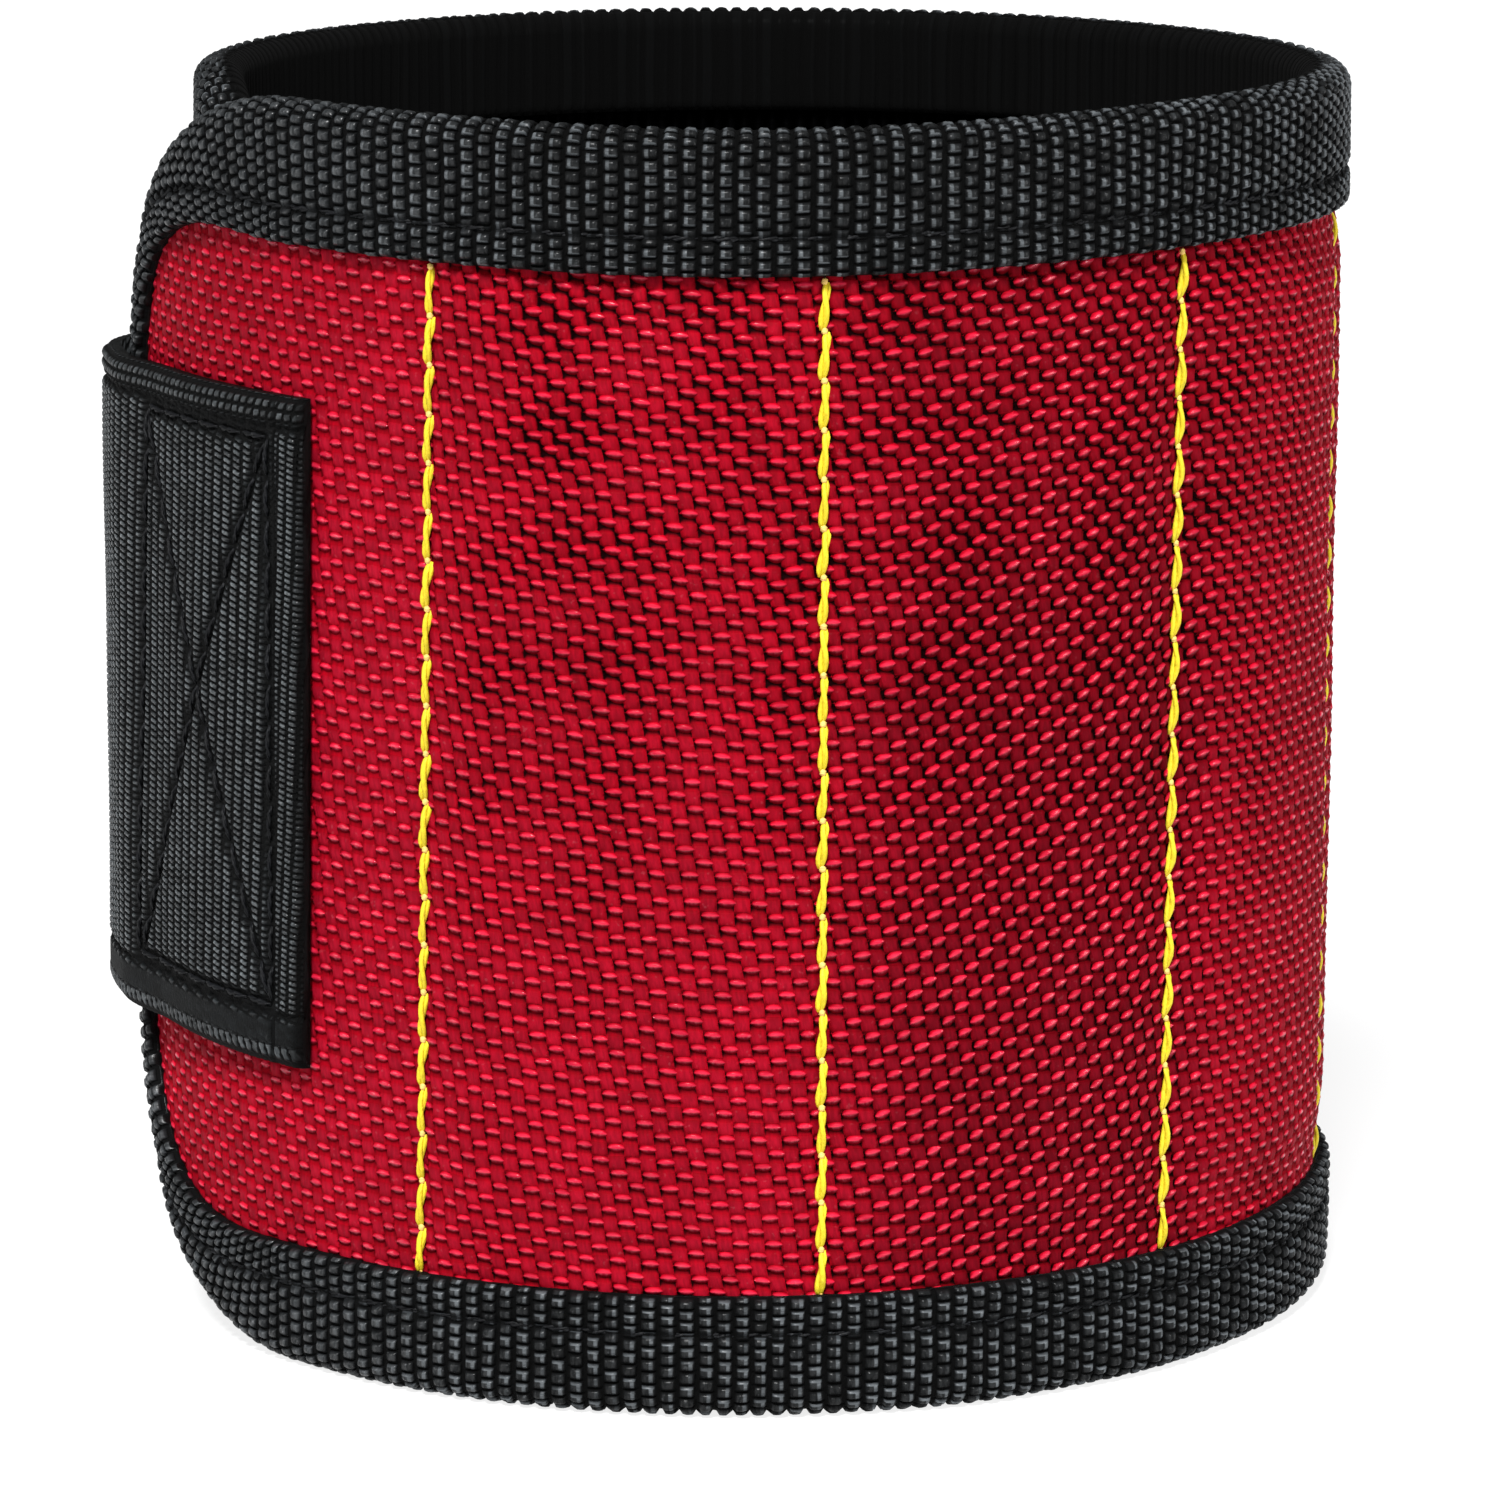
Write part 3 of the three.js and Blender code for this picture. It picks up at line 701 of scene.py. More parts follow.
# The values that plain cloth carries at each point.
def plainValues(like, lift, kind, tone, shade=1):
    values = {"lift": lift, "kind": kind, "tone": tone, "shade": shade}
    return {label: value + 0.0 * like for label, value in values.items()}


behindValues = {"lift": 0.4, "kind": 0, "tone": 0.4, "shade": 0.5, "apart": 0, "drawn": 0,
                "plain": 0, "mask": 1, "stroke": 0}


# A closed sheet: a detailed side from face(s, t), a plain back, and the edge between them.
def clothSheet(name, s, t, face, back, backSteps, material):
    points, pattern, values = face(s, t)
    nudge = 0.07
    sideways = face(s + nudge, t)[0] - face(s - nudge, t)[0]
    upwards = face(s, t + nudge)[0] - face(s, t - nudge)[0]
    normals = np.cross(sideways, upwards)
    normals /= np.maximum(np.linalg.norm(normals, axis=-1, keepdims=True), 1e-12)
    n, m = s.shape
    rows, columns = fewOf(s[:, m // 2], backSteps[0]), fewOf(t[n // 2], backSteps[1])
    few = np.ix_(rows, columns)
    behind = back(s[few], t[few])
    frontIndex = np.arange(n * m).reshape(n, m)
    backIndex = n * m + np.arange(len(rows) * len(columns)).reshape(len(rows), len(columns))
    quads = np.concatenate([gridFaces(frontIndex), gridFaces(backIndex)[:, ::-1]])
    edges = joinEdges(edgeLoop(frontIndex, np.arange(n), np.arange(m)), edgeLoop(backIndex, rows, columns))
    allPoints = np.concatenate([points.reshape(-1, 3), behind.reshape(-1, 3)])
    triangles = np.concatenate([quads[:, [0, 1, 2]], quads[:, [0, 2, 3]], edges])
    normals = np.concatenate([normals.reshape(-1, 3), np.zeros((backIndex.size, 3))])
    if signedVolume(allPoints, triangles) < 0:
        quads, edges, normals = quads[:, ::-1], edges[:, ::-1], -normals
    backPattern = np.stack([s[few], t[few]], -1).reshape(-1, 2)
    uv = np.concatenate([pattern.reshape(-1, 2), backPattern]) * 0.1
    values = {label: np.concatenate([numbers.ravel(), np.full(backIndex.size, behindValues[label])])
              for label, numbers in values.items()}
    return makeMesh(name, allPoints, quads, edges, uv, values, normals, material)


def bendPoint(angle, radius):
    return tuple(float(x) for x in ringPoint(np.array(angle), radius, np.array(band["middle"])))


# Cloth that crosses a hinge: the points where its bend would start and end are worked out, and its
# placement is baked into its points.
def bendAt(piece, number):
    hinge, (lower, upper) = band["hinges"][number], band["bodies"][number:number + 2]
    reach = math.degrees(band["bendReach"] / band["radius"])
    start, end = (bendPoint(hinge + way * reach, bandRadius(hinge)) for way in (-1, 1))
    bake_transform(piece)


# How far a rounded end has dropped at a distance from its edge.
def cornerDrop(along, corner, inset):
    reach = corner - inset
    across = np.minimum(reach - 1e-6, np.maximum(0, corner - along))
    return corner - np.sqrt(reach ** 2 - across ** 2)


# Heights of a layer's rows, squeezed between the corners of a rounded end.
def roundedRows(s, z, end, corner):
    half, inset = band["middle"], band["rowsFrom"]
    drop = cornerDrop(np.abs(s - arcTo(band[end])), band[corner], inset)
    return half + (z - half) * (half - drop) / (half - inset)


# Red face
redFace = {"thickness": 0.45, "stepS": 1.12 / 5, "stepZ": 0.93 / 5, "groove": 0.3, "grooveWidth": 0.5,
           "sag": 0.1, "rows": (8.0, 81.8), "endRows": (2.5, 87.5)}


# How far the yarns stand apart: the weave is closed at the outer end and open over the front.
def openness(s, z):
    angle = angleAt(s)
    over = smooth(angle, *redYarn["opens"]) * (1 - 0.8 * smooth(angle, *redYarn["closes"]))
    over = over * (0.28 + 0.45 * smooth(z, *redYarn["opensUp"]))
    return np.clip(over * (0.8 + 0.5 * ripple(s, z, 9, 11)), 0, redYarn["mostOpen"])


def slanting(angle, z):
    over = smooth(angle, *redYarn["drawnFrom"]) * (1 - 0.9 * smooth(angle, *redYarn["drawnTo"]))
    return over * (1 - 0.4 * smooth(z, *redYarn["drawnUp"]))


def redCells(s, z):
    uneven = [redYarn["wobble"] * (ripple(s, z, 8, seed) + 0.6 * ripple(s, z, 3.1, seed + 2))
              for seed in (1, 2)]
    u = (s + redYarn["lean"] * (z - band["middle"])) / redYarn["warp"] + uneven[0]
    v = z / redYarn["weft"] + redYarn["drift"] * s / redYarn["weft"] + uneven[1]
    return u, v


# A seam's angle at a height: the seams at the front lean a little.
def seamLine(number, z):
    top, bottom = band["seams"][number]
    return top + (bottom - top) * (band["seamTop"] - z) / band["seamLength"]


def distanceToSeams(angle, z):
    lines = [np.abs(angle - seamLine(k, z)) for k in range(5)] + [np.abs(angle - band["tailStart"])]
    return np.radians(np.minimum.reduce(lines)) * band["radius"]


# How full a pocket is: 1 over its middle, 0 at its seams and beside the binding.
def fullness(angle, z):
    fromSeam = distanceToSeams(angle, z)
    fromEdge = np.minimum(z, band["height"] - z) - band["topLeg"]
    inPockets = (angle > seamLine(0, z)) & (angle < band["tailStart"])
    return np.where(inPockets, smooth(np.minimum(fromSeam, fromEdge), 0, band["pocketRamp"]), 0)


def facePoints(s, z):
    angle = angleAt(s)
    u, v = redCells(s, z)
    apart, drawn = openness(s, z), slanting(angle, z)
    height = weaveShape(u, v, apart, drawn)[0] * redYarn["inMesh"] + redYarn["base"]
    seam = distanceToSeams(angle, z)
    depth = band["faceDepth"] - band["pocketPuff"] * fullness(angle, z)
    depth = depth + redFace["groove"] * np.exp(-((seam / redFace["grooveWidth"]) ** 2))
    depth = depth - redFace["sag"] * ripple(s, z, 22, 8) * fullness(angle, z)
    points = ringPoint(angle, bandRadius(angle) - depth + height, z)
    return points, np.stack([u, v], -1), {"apart": apart, "drawn": drawn}


def faceBack(s, z):
    angle = angleAt(s)
    depth = band["faceDepth"] - band["pocketPuff"] * fullness(angle, z) + 0.25
    return ringPoint(angle, bandRadius(angle) - depth - redFace["thickness"], z)


def redPieces():
    starts = [band["outerEnd"] + band["endMargin"]] + cuts[:6]
    ends = starts[1:] + [band["tailStart"] - 0.2]
    nodes = ["end_face"] + [f"pocket_{k}_face" for k in range(1, 6)]
    for k, (low, high) in enumerate(zip(starts, ends)):
        coarser = 1.0 if k < 4 else 1.3
        bottom, top = redFace["endRows" if k == 0 else "rows"]
        rows = evenLines(bottom, top, redFace["stepZ"] * coarser)
        lines = evenLines(arcTo(low), arcTo(high), redFace["stepS"] * coarser)
        s, z = grid(lines, np.concatenate([[band["rowsFrom"]], rows, [band["rowsTo"]]]))
        if k == 0:
            z = roundedRows(s, z, "outerEnd", "endCorner")
        piece = clothSheet(f"redFace{k}", s, z, facePoints, faceBack, (10, 14), redCloth)
        if k == 0:
            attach(piece, "outer_end")
            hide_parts("end_face")
        else:
            bendAt(piece, k - 1)
            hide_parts(*nodes[k - 1:k + 1])


redPieces()
print("red face ready")


# Lining, and the loop pile on the tail
lining = {"thickness": 0.7, "ribPitch": 1.2, "ribHeight": 0.09, "stepS": 0.3, "stepZ": 1.6,
          "paintedShadeDepth": 0.93, "paintedShadeFrom": (26, 35)}
pile = {"thickness": 0.6, "loopPitch": 0.75, "loopHeight": 0.34, "step": 0.36, "sag": 0.12}


def liningPoints(s, z):
    angle = angleAt(s)
    depth = band["liningDepth"] + lining["thickness"] + band["liningSwell"] * fullness(angle, z)
    ribs = np.cos(2 * math.pi * (s + 0.2 * ripple(s, z, 30, 21)) / lining["ribPitch"])
    height = lining["ribHeight"] * ribs + 0.05 * ripple(s, z, 2.4, 22)
    points = ringPoint(angle, bandRadius(angle) - depth - height, z)
    tone = speckle(np.floor(s / lining["ribPitch"]), 0 * z, 4)
    fromMiddle = np.abs(z - band["middle"])
    shade = 1 - lining["paintedShadeDepth"] * smooth(fromMiddle, *lining["paintedShadeFrom"])  # painted shade, darker beside the binding
    return points, np.stack([s, z], -1), plainValues(s, 0.5 + 0.5 * ribs, 1, tone, shade)


def liningBack(s, z):
    angle = angleAt(s)
    depth = band["liningDepth"] + band["liningSwell"] * fullness(angle, z) + 0.05
    return ringPoint(angle, bandRadius(angle) - depth, z)


def pilePoints(s, z):
    angle = angleAt(s)
    p = pile["loopPitch"]
    u, v = s / p + 0.35 * ripple(s, z, 3, 31), z / p + 0.35 * ripple(s, z, 3, 32)
    shape, across, up, column, row = bumpShape(u, v, 1.0, 1.0, 0.0)
    tone = speckle(column, row, 33)
    fuzz = 0.5 + 0.5 * ripple(s, z, 1.6, 34)
    sag = pile["sag"] * (1 + ripple(s, z, 25, 35)) / 2
    height = pile["loopHeight"] * (0.65 * shape + 0.5 * fuzz * tone) - sag
    points = ringPoint(angle, bandRadius(angle) - band["faceDepth"] - 0.12 + height, z)
    lift = np.clip(0.25 + 0.6 * shape * fuzz, 0, 1)
    return points, np.stack([s, z], -1), plainValues(s, lift, 0.5, tone)


def pileBack(s, z):
    angle = angleAt(s)
    return ringPoint(angle, bandRadius(angle) - band["faceDepth"] - pile["thickness"], z)


def innerPieces():
    tailEnd = band["tailEnd"] - band["endMargin"]
    edges = [band["outerEnd"] + band["endMargin"]] + cuts[1:] + [tailEnd]
    nodes = [f"{body}_lining" for body in ["end"] + band["bodies"][1:]]
    rows = evenLines(band["rowsFrom"], band["rowsTo"], lining["stepZ"])
    for k, (low, high) in enumerate(zip(edges, edges[1:])):
        s, z = grid(evenLines(arcTo(low), arcTo(high), lining["stepS"]), rows)
        if k == 0:
            z = roundedRows(s, z, "outerEnd", "endCorner")
        if k == 6:
            z = roundedRows(s, z, "tailEnd", "tailCorner")
        piece = clothSheet(f"lining{k + 1}", s, z, liningPoints, liningBack, (12, 16), liningCloth)
        bendAt(piece, k)
        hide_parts(*nodes[k:k + 2])
    rows = evenLines(band["rowsFrom"], band["rowsTo"], pile["step"])
    for k, (low, high) in ((1, (band["tailStart"] + 0.1, cuts[6])), (2, (cuts[6], tailEnd))):
        s, z = grid(evenLines(arcTo(low), arcTo(high), pile["step"]), rows)
        if k == 2:
            z = roundedRows(s, z, "tailEnd", "tailCorner")
        piece = clothSheet(f"loopPile{k}", s, z, pilePoints, pileBack, (12, 12), pileCloth)
        bendAt(piece, 4 + k)
        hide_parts(f"tail_{k}_loop")


innerPieces()
print("lining and loop pile ready")


# Binding: a folded tape round the edge
tape = {
    "column": 1.3, "bump": 0.92, "lipBump": 0.8, "relief": 0.4, "wave": 0.12, "thickness": 0.8,
    "grooveFromLip": 2.65, "grooveWidth": 0.34, "grooveDepth": 0.22, "rollInset": 1.7, "rollDepth": 1.9,
    "innerLeg": 8, "endLeg": 3.6, "tailLeg": 8, "lipFold": 0.7,
    "stepAlong": 0.24, "stepAcross": 0.18, "stepInside": 0.42,
    "highlightsFrom": (-40, -12), "highlightsTo": (60, 85), "shadedFaces": 0.62, "paintedShadeInside": (-0.3, 0.6),
}
swings = np.linspace(0, math.pi / 2, 60)
rollSteps = np.hypot(np.diff(tape["rollInset"] * (1 - np.sin(swings))),
                     np.diff(tape["rollDepth"] * np.cos(swings)))
rollLengths = np.concatenate([[0], np.cumsum(rollSteps)])
rollQuarter = rollLengths[-1]


# Place and distance from the lip, across the tape: q is 0 on the rim and grows inwards.
def tapeProfile(q, leg, sunk):
    side = np.sign(q)
    swing = np.interp(rollQuarter - np.clip(np.abs(q), 0, rollQuarter), rollLengths, swings)
    inset = tape["rollInset"] * (1 - np.sin(swing)) + np.clip(np.abs(q) - rollQuarter, 0, None)
    away = np.cos(swing) * tape["rollDepth"]
    normalInset = -np.sin(swing) * tape["rollDepth"]
    normalDepth = np.cos(swing) * tape["rollInset"] * side
    size = np.hypot(normalInset, normalDepth)
    fromLip = np.where(q < 0, leg, tape["innerLeg"]) - inset
    fold = 1 - np.sqrt(1 - np.clip(1 - fromLip / tape["lipFold"], 0, 1) ** 2)
    away = away - 0.5 * fold
    inset = inset - sunk * normalInset / size
    depth = tape["rollDepth"] + side * away - sunk * normalDepth / size
    return inset, depth, fromLip


# The tape's cells, with plain ribs on the inner leg, and its stitch groove.
def tapeCells(w, q, fromLip):
    onLip = (fromLip < tape["grooveFromLip"]) & (q < 0)
    u = (w + 0.12 * ripple(w, q, 9, 41)) / tape["column"]
    v = np.where(onLip, fromLip / tape["lipBump"], (q + 0.08 * ripple(w, q, 6, 42)) / tape["bump"])
    v = np.where(q > 0.9, 0.25, v)
    groove = np.exp(-(((fromLip - tape["grooveFromLip"]) / tape["grooveWidth"]) ** 2)) * (q < 0)
    return u, v, groove


# A path gives the rim's place, the way inwards, the pattern's place and the outer leg.
def topPath(w):
    flat = np.zeros_like(w)
    return w, flat + band["height"], flat, flat - 1, w, flat + band["topLeg"]


def bottomPath(w):
    flat = np.zeros_like(w)
    return w, flat, flat, flat + 1, -w, flat + band["bottomLeg"]


# Along the top rim, round an end, and back along the bottom rim.
def endPath(fromS, endS, corner, endLeg):
    way = 1 if endS > fromS else -1
    straight = abs(endS - fromS) - corner
    arc = corner * math.pi / 2
    total = 2 * straight + 2 * arc + band["height"] - 2 * corner
    repeat = 2 * tape["column"]  # the pattern meets itself at the far end
    fitted = round((total + 2 * way * fromS) / repeat) * repeat - 2 * way * fromS

    def path(w):
        lower = w > total / 2
        v = np.where(lower, total - w, w)
        swing = np.clip((v - straight) / arc, 0, 1) * math.pi / 2
        s = fromS + way * (np.minimum(v, straight) + corner * np.sin(swing))
        z = band["height"] - corner + corner * np.cos(swing) - np.clip(v - straight - arc, 0, None)
        legStraight = np.where(lower, band["bottomLeg"], band["topLeg"])
        leg = legStraight + (endLeg - legStraight) * smooth(swing, 0, math.pi / 3)
        z = np.where(lower, band["height"] - z, z)
        inZ = np.where(lower, np.cos(swing), -np.cos(swing))
        return s, z, -way * np.sin(swing), inZ, fromS + way * w * fitted / total, leg

    return path, total


def tapePlace(path, w, row, sunk, withRelief):
    s, z, inS, inZ, pattern, leg = path(w)
    stretch = (leg - tape["rollInset"]) / (band["topLeg"] - tape["rollInset"])
    q = np.where(row < -rollQuarter, -rollQuarter + (row + rollQuarter) * stretch, row)
    inset, depth, fromLip = tapeProfile(q, leg, sunk)
    u, v, groove = tapeCells(pattern, q, fromLip)
    if withRelief:
        shape = bumpShape(u, v, **tapeRows)[0] * (1 - 0.4 * groove)
        ribs = 1 - 0.88 * smooth(q, 0, 1.2)
        below = tape["relief"] * (1 - shape) * ribs + tape["grooveDepth"] * groove * 0.6
        inset, depth, fromLip = tapeProfile(q, leg, sunk + below)
    sAt, zAt = s + inS * inset, z + inZ * inset
    depth = depth - tape["wave"] * ripple(sAt, zAt, 18, 43) * (q < 0)
    angle = angleAt(sAt)
    points = ringPoint(angle, bandRadius(angle) - depth, zAt)
    # Painted highlights on the bumps, strongest over the front of the ring; painted shade on the faces
    # beside them, near-black painted shade over the inner leg, and painted shade in the stitch groove.
    stroke = 0.1 + 0.9 * smooth(angle, *tape["highlightsFrom"]) * (1 - 0.6 * smooth(angle, *tape["highlightsTo"]))
    shade = (1 - 0.99 * smooth(q, *tape["paintedShadeInside"])) * (1 - tape["shadedFaces"] * stroke)
    values = {"plain": 0 * q, "mask": 1 - 0.45 * groove, "shade": shade, "stroke": stroke}
    return points, np.stack([u, v], -1), values


def tapeSheet(name, path, low, high, coarser=1.0):
    across = tape["stepAcross"] * coarser
    outer = evenLines(-rollQuarter - band["topLeg"] + tape["rollInset"], rollQuarter, across)
    lip = rollQuarter + tape["innerLeg"] - tape["rollInset"]
    inner = evenLines(rollQuarter, lip, tape["stepInside"])[1:]
    w, row = grid(evenLines(low, high, tape["stepAlong"] * coarser), np.concatenate([outer, inner]))
    piece = clothSheet(
        name, w, row, lambda a, b: tapePlace(path, a, b, 0, True),
        lambda a, b: tapePlace(path, a, b, tape["thickness"], False)[0],
        (max(8, int((high - low) / 2.5)), 24), bindingCloth)
    (high - low) * mm
    return piece


endTape, endLength = endPath(arcTo(cuts[0]), arcTo(band["outerEnd"]), band["endCorner"], tape["endLeg"])
tailTape, tailLength = endPath(arcTo(cuts[6]), arcTo(band["tailEnd"]), band["tailCorner"], tape["tailLeg"])
rims = (("top", topPath), ("bottom", bottomPath))


def bindingPieces():
    piece = tapeSheet("endBinding", endTape, 0, endLength)
    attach(piece, "outer_end")
    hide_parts("end_binding")
    nodes = band["bodies"][1:7]
    for rim, path in rims:
        for k in range(6):
            coarser = 1.0 if k < 4 else 1.2
            piece = tapeSheet(f"{rim}Binding{k + 1}", path, arcTo(cuts[k]), arcTo(cuts[k + 1]), coarser)
            bendAt(piece, k)
            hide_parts(*(f"{node}_{rim}_binding" for node in nodes[max(0, k - 1):k + 1]))
    piece = tapeSheet("tailBinding", tailTape, 0, tailLength, 1.3)
    bendAt(piece, 6)
    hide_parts("tail_2_binding")


bindingPieces()
print("binding ready")


# Strap
strap = {
    "thickness": 1.4, "bottom": 22.05, "top": 69.55, "frontTop": -41.5, "frontBottom": -42.4,
    "end": -187.83, "cuts": [-104.0, -144.0], "tipCorner": 9, "stretch": 1.035,
    "row": 0.47, "lean": 0.05, "relief": 0.22, "frontMiddle": -42,
    "columnsFrom": -34, "columnsAlike": -26, "perMm": 0.9, "closer": 0.0026, "perMmBehind": 0.85,
    "selvedge": 0.8, "hemDrop": 0.55, "edgeBand": 2.5, "grooveDepth": 0.3, "grooveWidth": 0.5,
    "hinges": [-83.54, -124.21, -163.84], "bends": [(9, 9), (9, 9), (1.5, 13)],
    "bodies": ["outer_end", "strap_middle", "strap_back", "strap_tip"],
    "seat": 44.1, "seatRise": 1.1, "rises": (65.0, 74.8), "settles": (82.27, 100.62), "overTail": 1.6,
    "box": [(-45.9, 66.6, -45.9, 26.4), (-67.3, 66.6, -70.7, 26.4), (-45.9, 66.6, -67.3, 66.6),
            (-45.9, 26.4, -70.7, 26.4), (-46.1, 66.3, -69.9, 26.9), (-67.3, 66.0, -46.1, 26.8)],
    "stepS": 0.24, "stepZ": 0.118,
}


# Inside of the strap: on the face, over the end's binding, then down onto the tail.
def strapSeat(angle):
    onTail = bandRadius(angle + 360) - band["faceDepth"] + strap["overTail"]
    climb = strap["seat"] + strap["seatRise"] * smooth(-angle, *strap["rises"])
    return climb + (onTail - climb) * smooth(-angle, *strap["settles"])


# Distance to the nearest line of the box stitching.
def nearBox(s, z):
    nearest = np.full_like(s, 99.0)
    for a, b, c, d in strap["box"]:
        ax, cx = arcTo(a), arcTo(c)
        length = math.hypot(cx - ax, d - b)
        t = np.clip(((s - ax) * (cx - ax) + (z - b) * (d - b)) / length ** 2, 0, 1)
        nearest = np.minimum(nearest, np.hypot(s - ax - t * (cx - ax), z - b - t * (d - b)))
    return nearest


def strapFront(z):
    t = (z - strap["bottom"]) / (strap["top"] - strap["bottom"])
    return arcTo(strap["frontBottom"]) + t * (arcTo(strap["frontTop"]) - arcTo(strap["frontBottom"]))


def notch(distance, width):
    return np.exp(-((distance / width) ** 2))


# Columns of bumps, closer together near the front edge: cells, smooth places, sunk places and how dark the
# hems are.
def webbingCells(s, z):
    fromFront = strapFront(z) - s
    fromTop, fromBottom = strap["top"] - z, z - strap["bottom"]
    t = s - strap["columnsFrom"]
    near = np.maximum(t, strap["columnsAlike"])
    u = strap["perMm"] * near + strap["closer"] * near ** 2 + strap["perMmBehind"] * (t - near)
    u = u - strap["lean"] * (z - band["middle"]) + 0.06 * ripple(s, z, 12, 51)
    v = (z + 0.06 * ripple(s, z, 10, 52)) / strap["row"]
    isEdge = fromFront < strap["edgeBand"]
    u, v = np.where(isEdge, u * 1.35, u), np.where(isEdge, v * 1.1, v)
    onTop, onRoll, onTeeth = fromTop < 2.0, fromBottom < 3.5, fromBottom < 1.5
    u = np.where(onTop, (s + 0.3 * fromTop) / 0.8, np.where(onTeeth, (s + 0.4 * fromBottom) / 0.8, u))
    v = np.where(onTop, fromTop / 0.75 - 0.5 * u, np.where(onTeeth, 0.1 + fromBottom / 1.9 - 0.5 * u, v))
    onSmooth = smooth(fromBottom, 1.3, 1.7) * (1 - smooth(fromBottom, 3.0, 3.5))
    plain = np.where(onRoll & ~onTeeth, onSmooth, 0)
    hems = notch(fromTop - 2.2, 0.28) + notch(fromBottom - 3.7, 0.25)
    sunk = notch(nearBox(s, z), strap["grooveWidth"]) + 0.8 * hems
    sunk = np.clip(sunk + 0.7 * notch(fromFront - strap["edgeBand"], 0.16), 0, 1)
    return u, v, plain, sunk, 1 - 0.35 * (onTop | onTeeth) - 0.3 * plain


def roundedEdge(distance, width, drop):
    return drop * (1 - np.sqrt(1 - np.clip(1 - distance / width, 0, 1) ** 2))


def strapRadius(s, z):
    radius = strapSeat(angleAt(s)) + strap["thickness"]
    fromSelvedge = np.minimum(strap["top"] - z, z - strap["bottom"])
    radius = radius - roundedEdge(fromSelvedge, strap["selvedge"], strap["hemDrop"])
    radius = radius - roundedEdge(strapFront(z) - s, 1.0, 0.6)
    return radius + 0.1 * ripple(s, z, 20, 53)


def strapPoints(s, z):
    u, v, plain, sunk, darkHemsEdgeShadow = webbingCells(s, z)
    shape = bumpShape(u, v, **webbingRows)[0]
    shape = (shape + (0.8 - shape) * plain) * (1 - 0.75 * sunk)
    height = strap["relief"] * (shape - 1) - strap["grooveDepth"] * sunk
    points = ringPoint(angleAt(s), strapRadius(s, z) + height, z)
    # Painted shadow along the strap's front edge, and painted shade in the sunk stitch lines and hems.
    darkHemsEdgeShadow = darkHemsEdgeShadow * (1 - 0.9 * notch(strapFront(z) - s, 0.5))
    values = {"plain": plain, "mask": 1 - 0.95 * sunk, "shade": darkHemsEdgeShadow, "stroke": 0.5 * darkHemsEdgeShadow}
    return points, np.stack([u, v], -1), values


def strapBack(s, z):
    angle = angleAt(s)
    return ringPoint(angle, strapSeat(angle) + 0.02, z)


# The strap's bend points at a hinge, the free tip's only past its hinge so that it wouldn't press the rest
# into the pile; the piece's placement is baked into its points.
def bendStrap(piece, number):
    hinge, (lower, upper) = strap["hinges"][number], strap["bodies"][number:number + 2]
    before, after = strap["bends"][number]
    radius = float(strapSeat(np.array(hinge))) + strap["thickness"] / 2
    start, end = (bendPoint(hinge + math.degrees(reach / band["radius"]), radius)
                  for reach in (before, -after))
    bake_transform(piece)


def strapPieces():
    firstCut, lastCut = strap["cuts"]
    spans = [(firstCut, None), (lastCut, firstCut), (strap["end"], lastCut)]
    nodes = [("strap_root", "strap_middle"), ("strap_middle", "strap_back"), ("strap_back", "strap_tip")]
    for k, (low, high) in enumerate(spans):
        fine = 1.0 if k == 0 else 1.35
        length = arcTo((high or strap["frontMiddle"]) - low)
        share, z = grid(np.linspace(0, 1, int(length / (strap["stepS"] * fine))),
                        evenLines(strap["bottom"], strap["top"], strap["stepZ"] * fine))
        front = strapFront(z) if high is None else arcTo(high)
        s = arcTo(low) + (front - arcTo(low)) * share
        if k == 2:
            middle = (strap["top"] + strap["bottom"]) / 2
            half = (strap["top"] - strap["bottom"]) / 2
            z = middle + (z - middle) * (half - cornerDrop(s - arcTo(low), strap["tipCorner"], 0)) / half
        piece = clothSheet(f"strap{k + 1}", s, z, strapPoints, strapBack, (24, 8), webbingCloth)
        bendStrap(piece, k)
        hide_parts(*nodes[k])


strapPieces()
print("strap ready")


# Stitches
yellowStitch = {"length": 3.3, "pitch": 3.35, "width": 0.78, "turns": 0.6, "steps": 9, "sides": 7,
                "arch": 0.32, "sink": 0.1, "slant": 0.1, "knot": 0.27}
blackStitch = {"length": 2.5, "pitch": 2.9, "width": 0.46, "turns": 1.3, "steps": 5, "sides": 5,
               "arch": 0.2, "sink": 0.1, "slant": 0.04, "knot": 0}
sewn = {"seamRows": (79.6, 44, 8.6), "joinRows": (79.5, 9.5), "joinAngles": (152.6, 157.6)}


# A modelled piece as plain arrays to be copied; the piece itself goes.
def takeArrays(piece):
    points = np.array([tuple(v.co) for v in piece.data.vertices])
    triangles = np.array([tuple(p.vertices) for p in piece.data.polygons])
    bpy.data.objects.remove(piece)
    return points, triangles


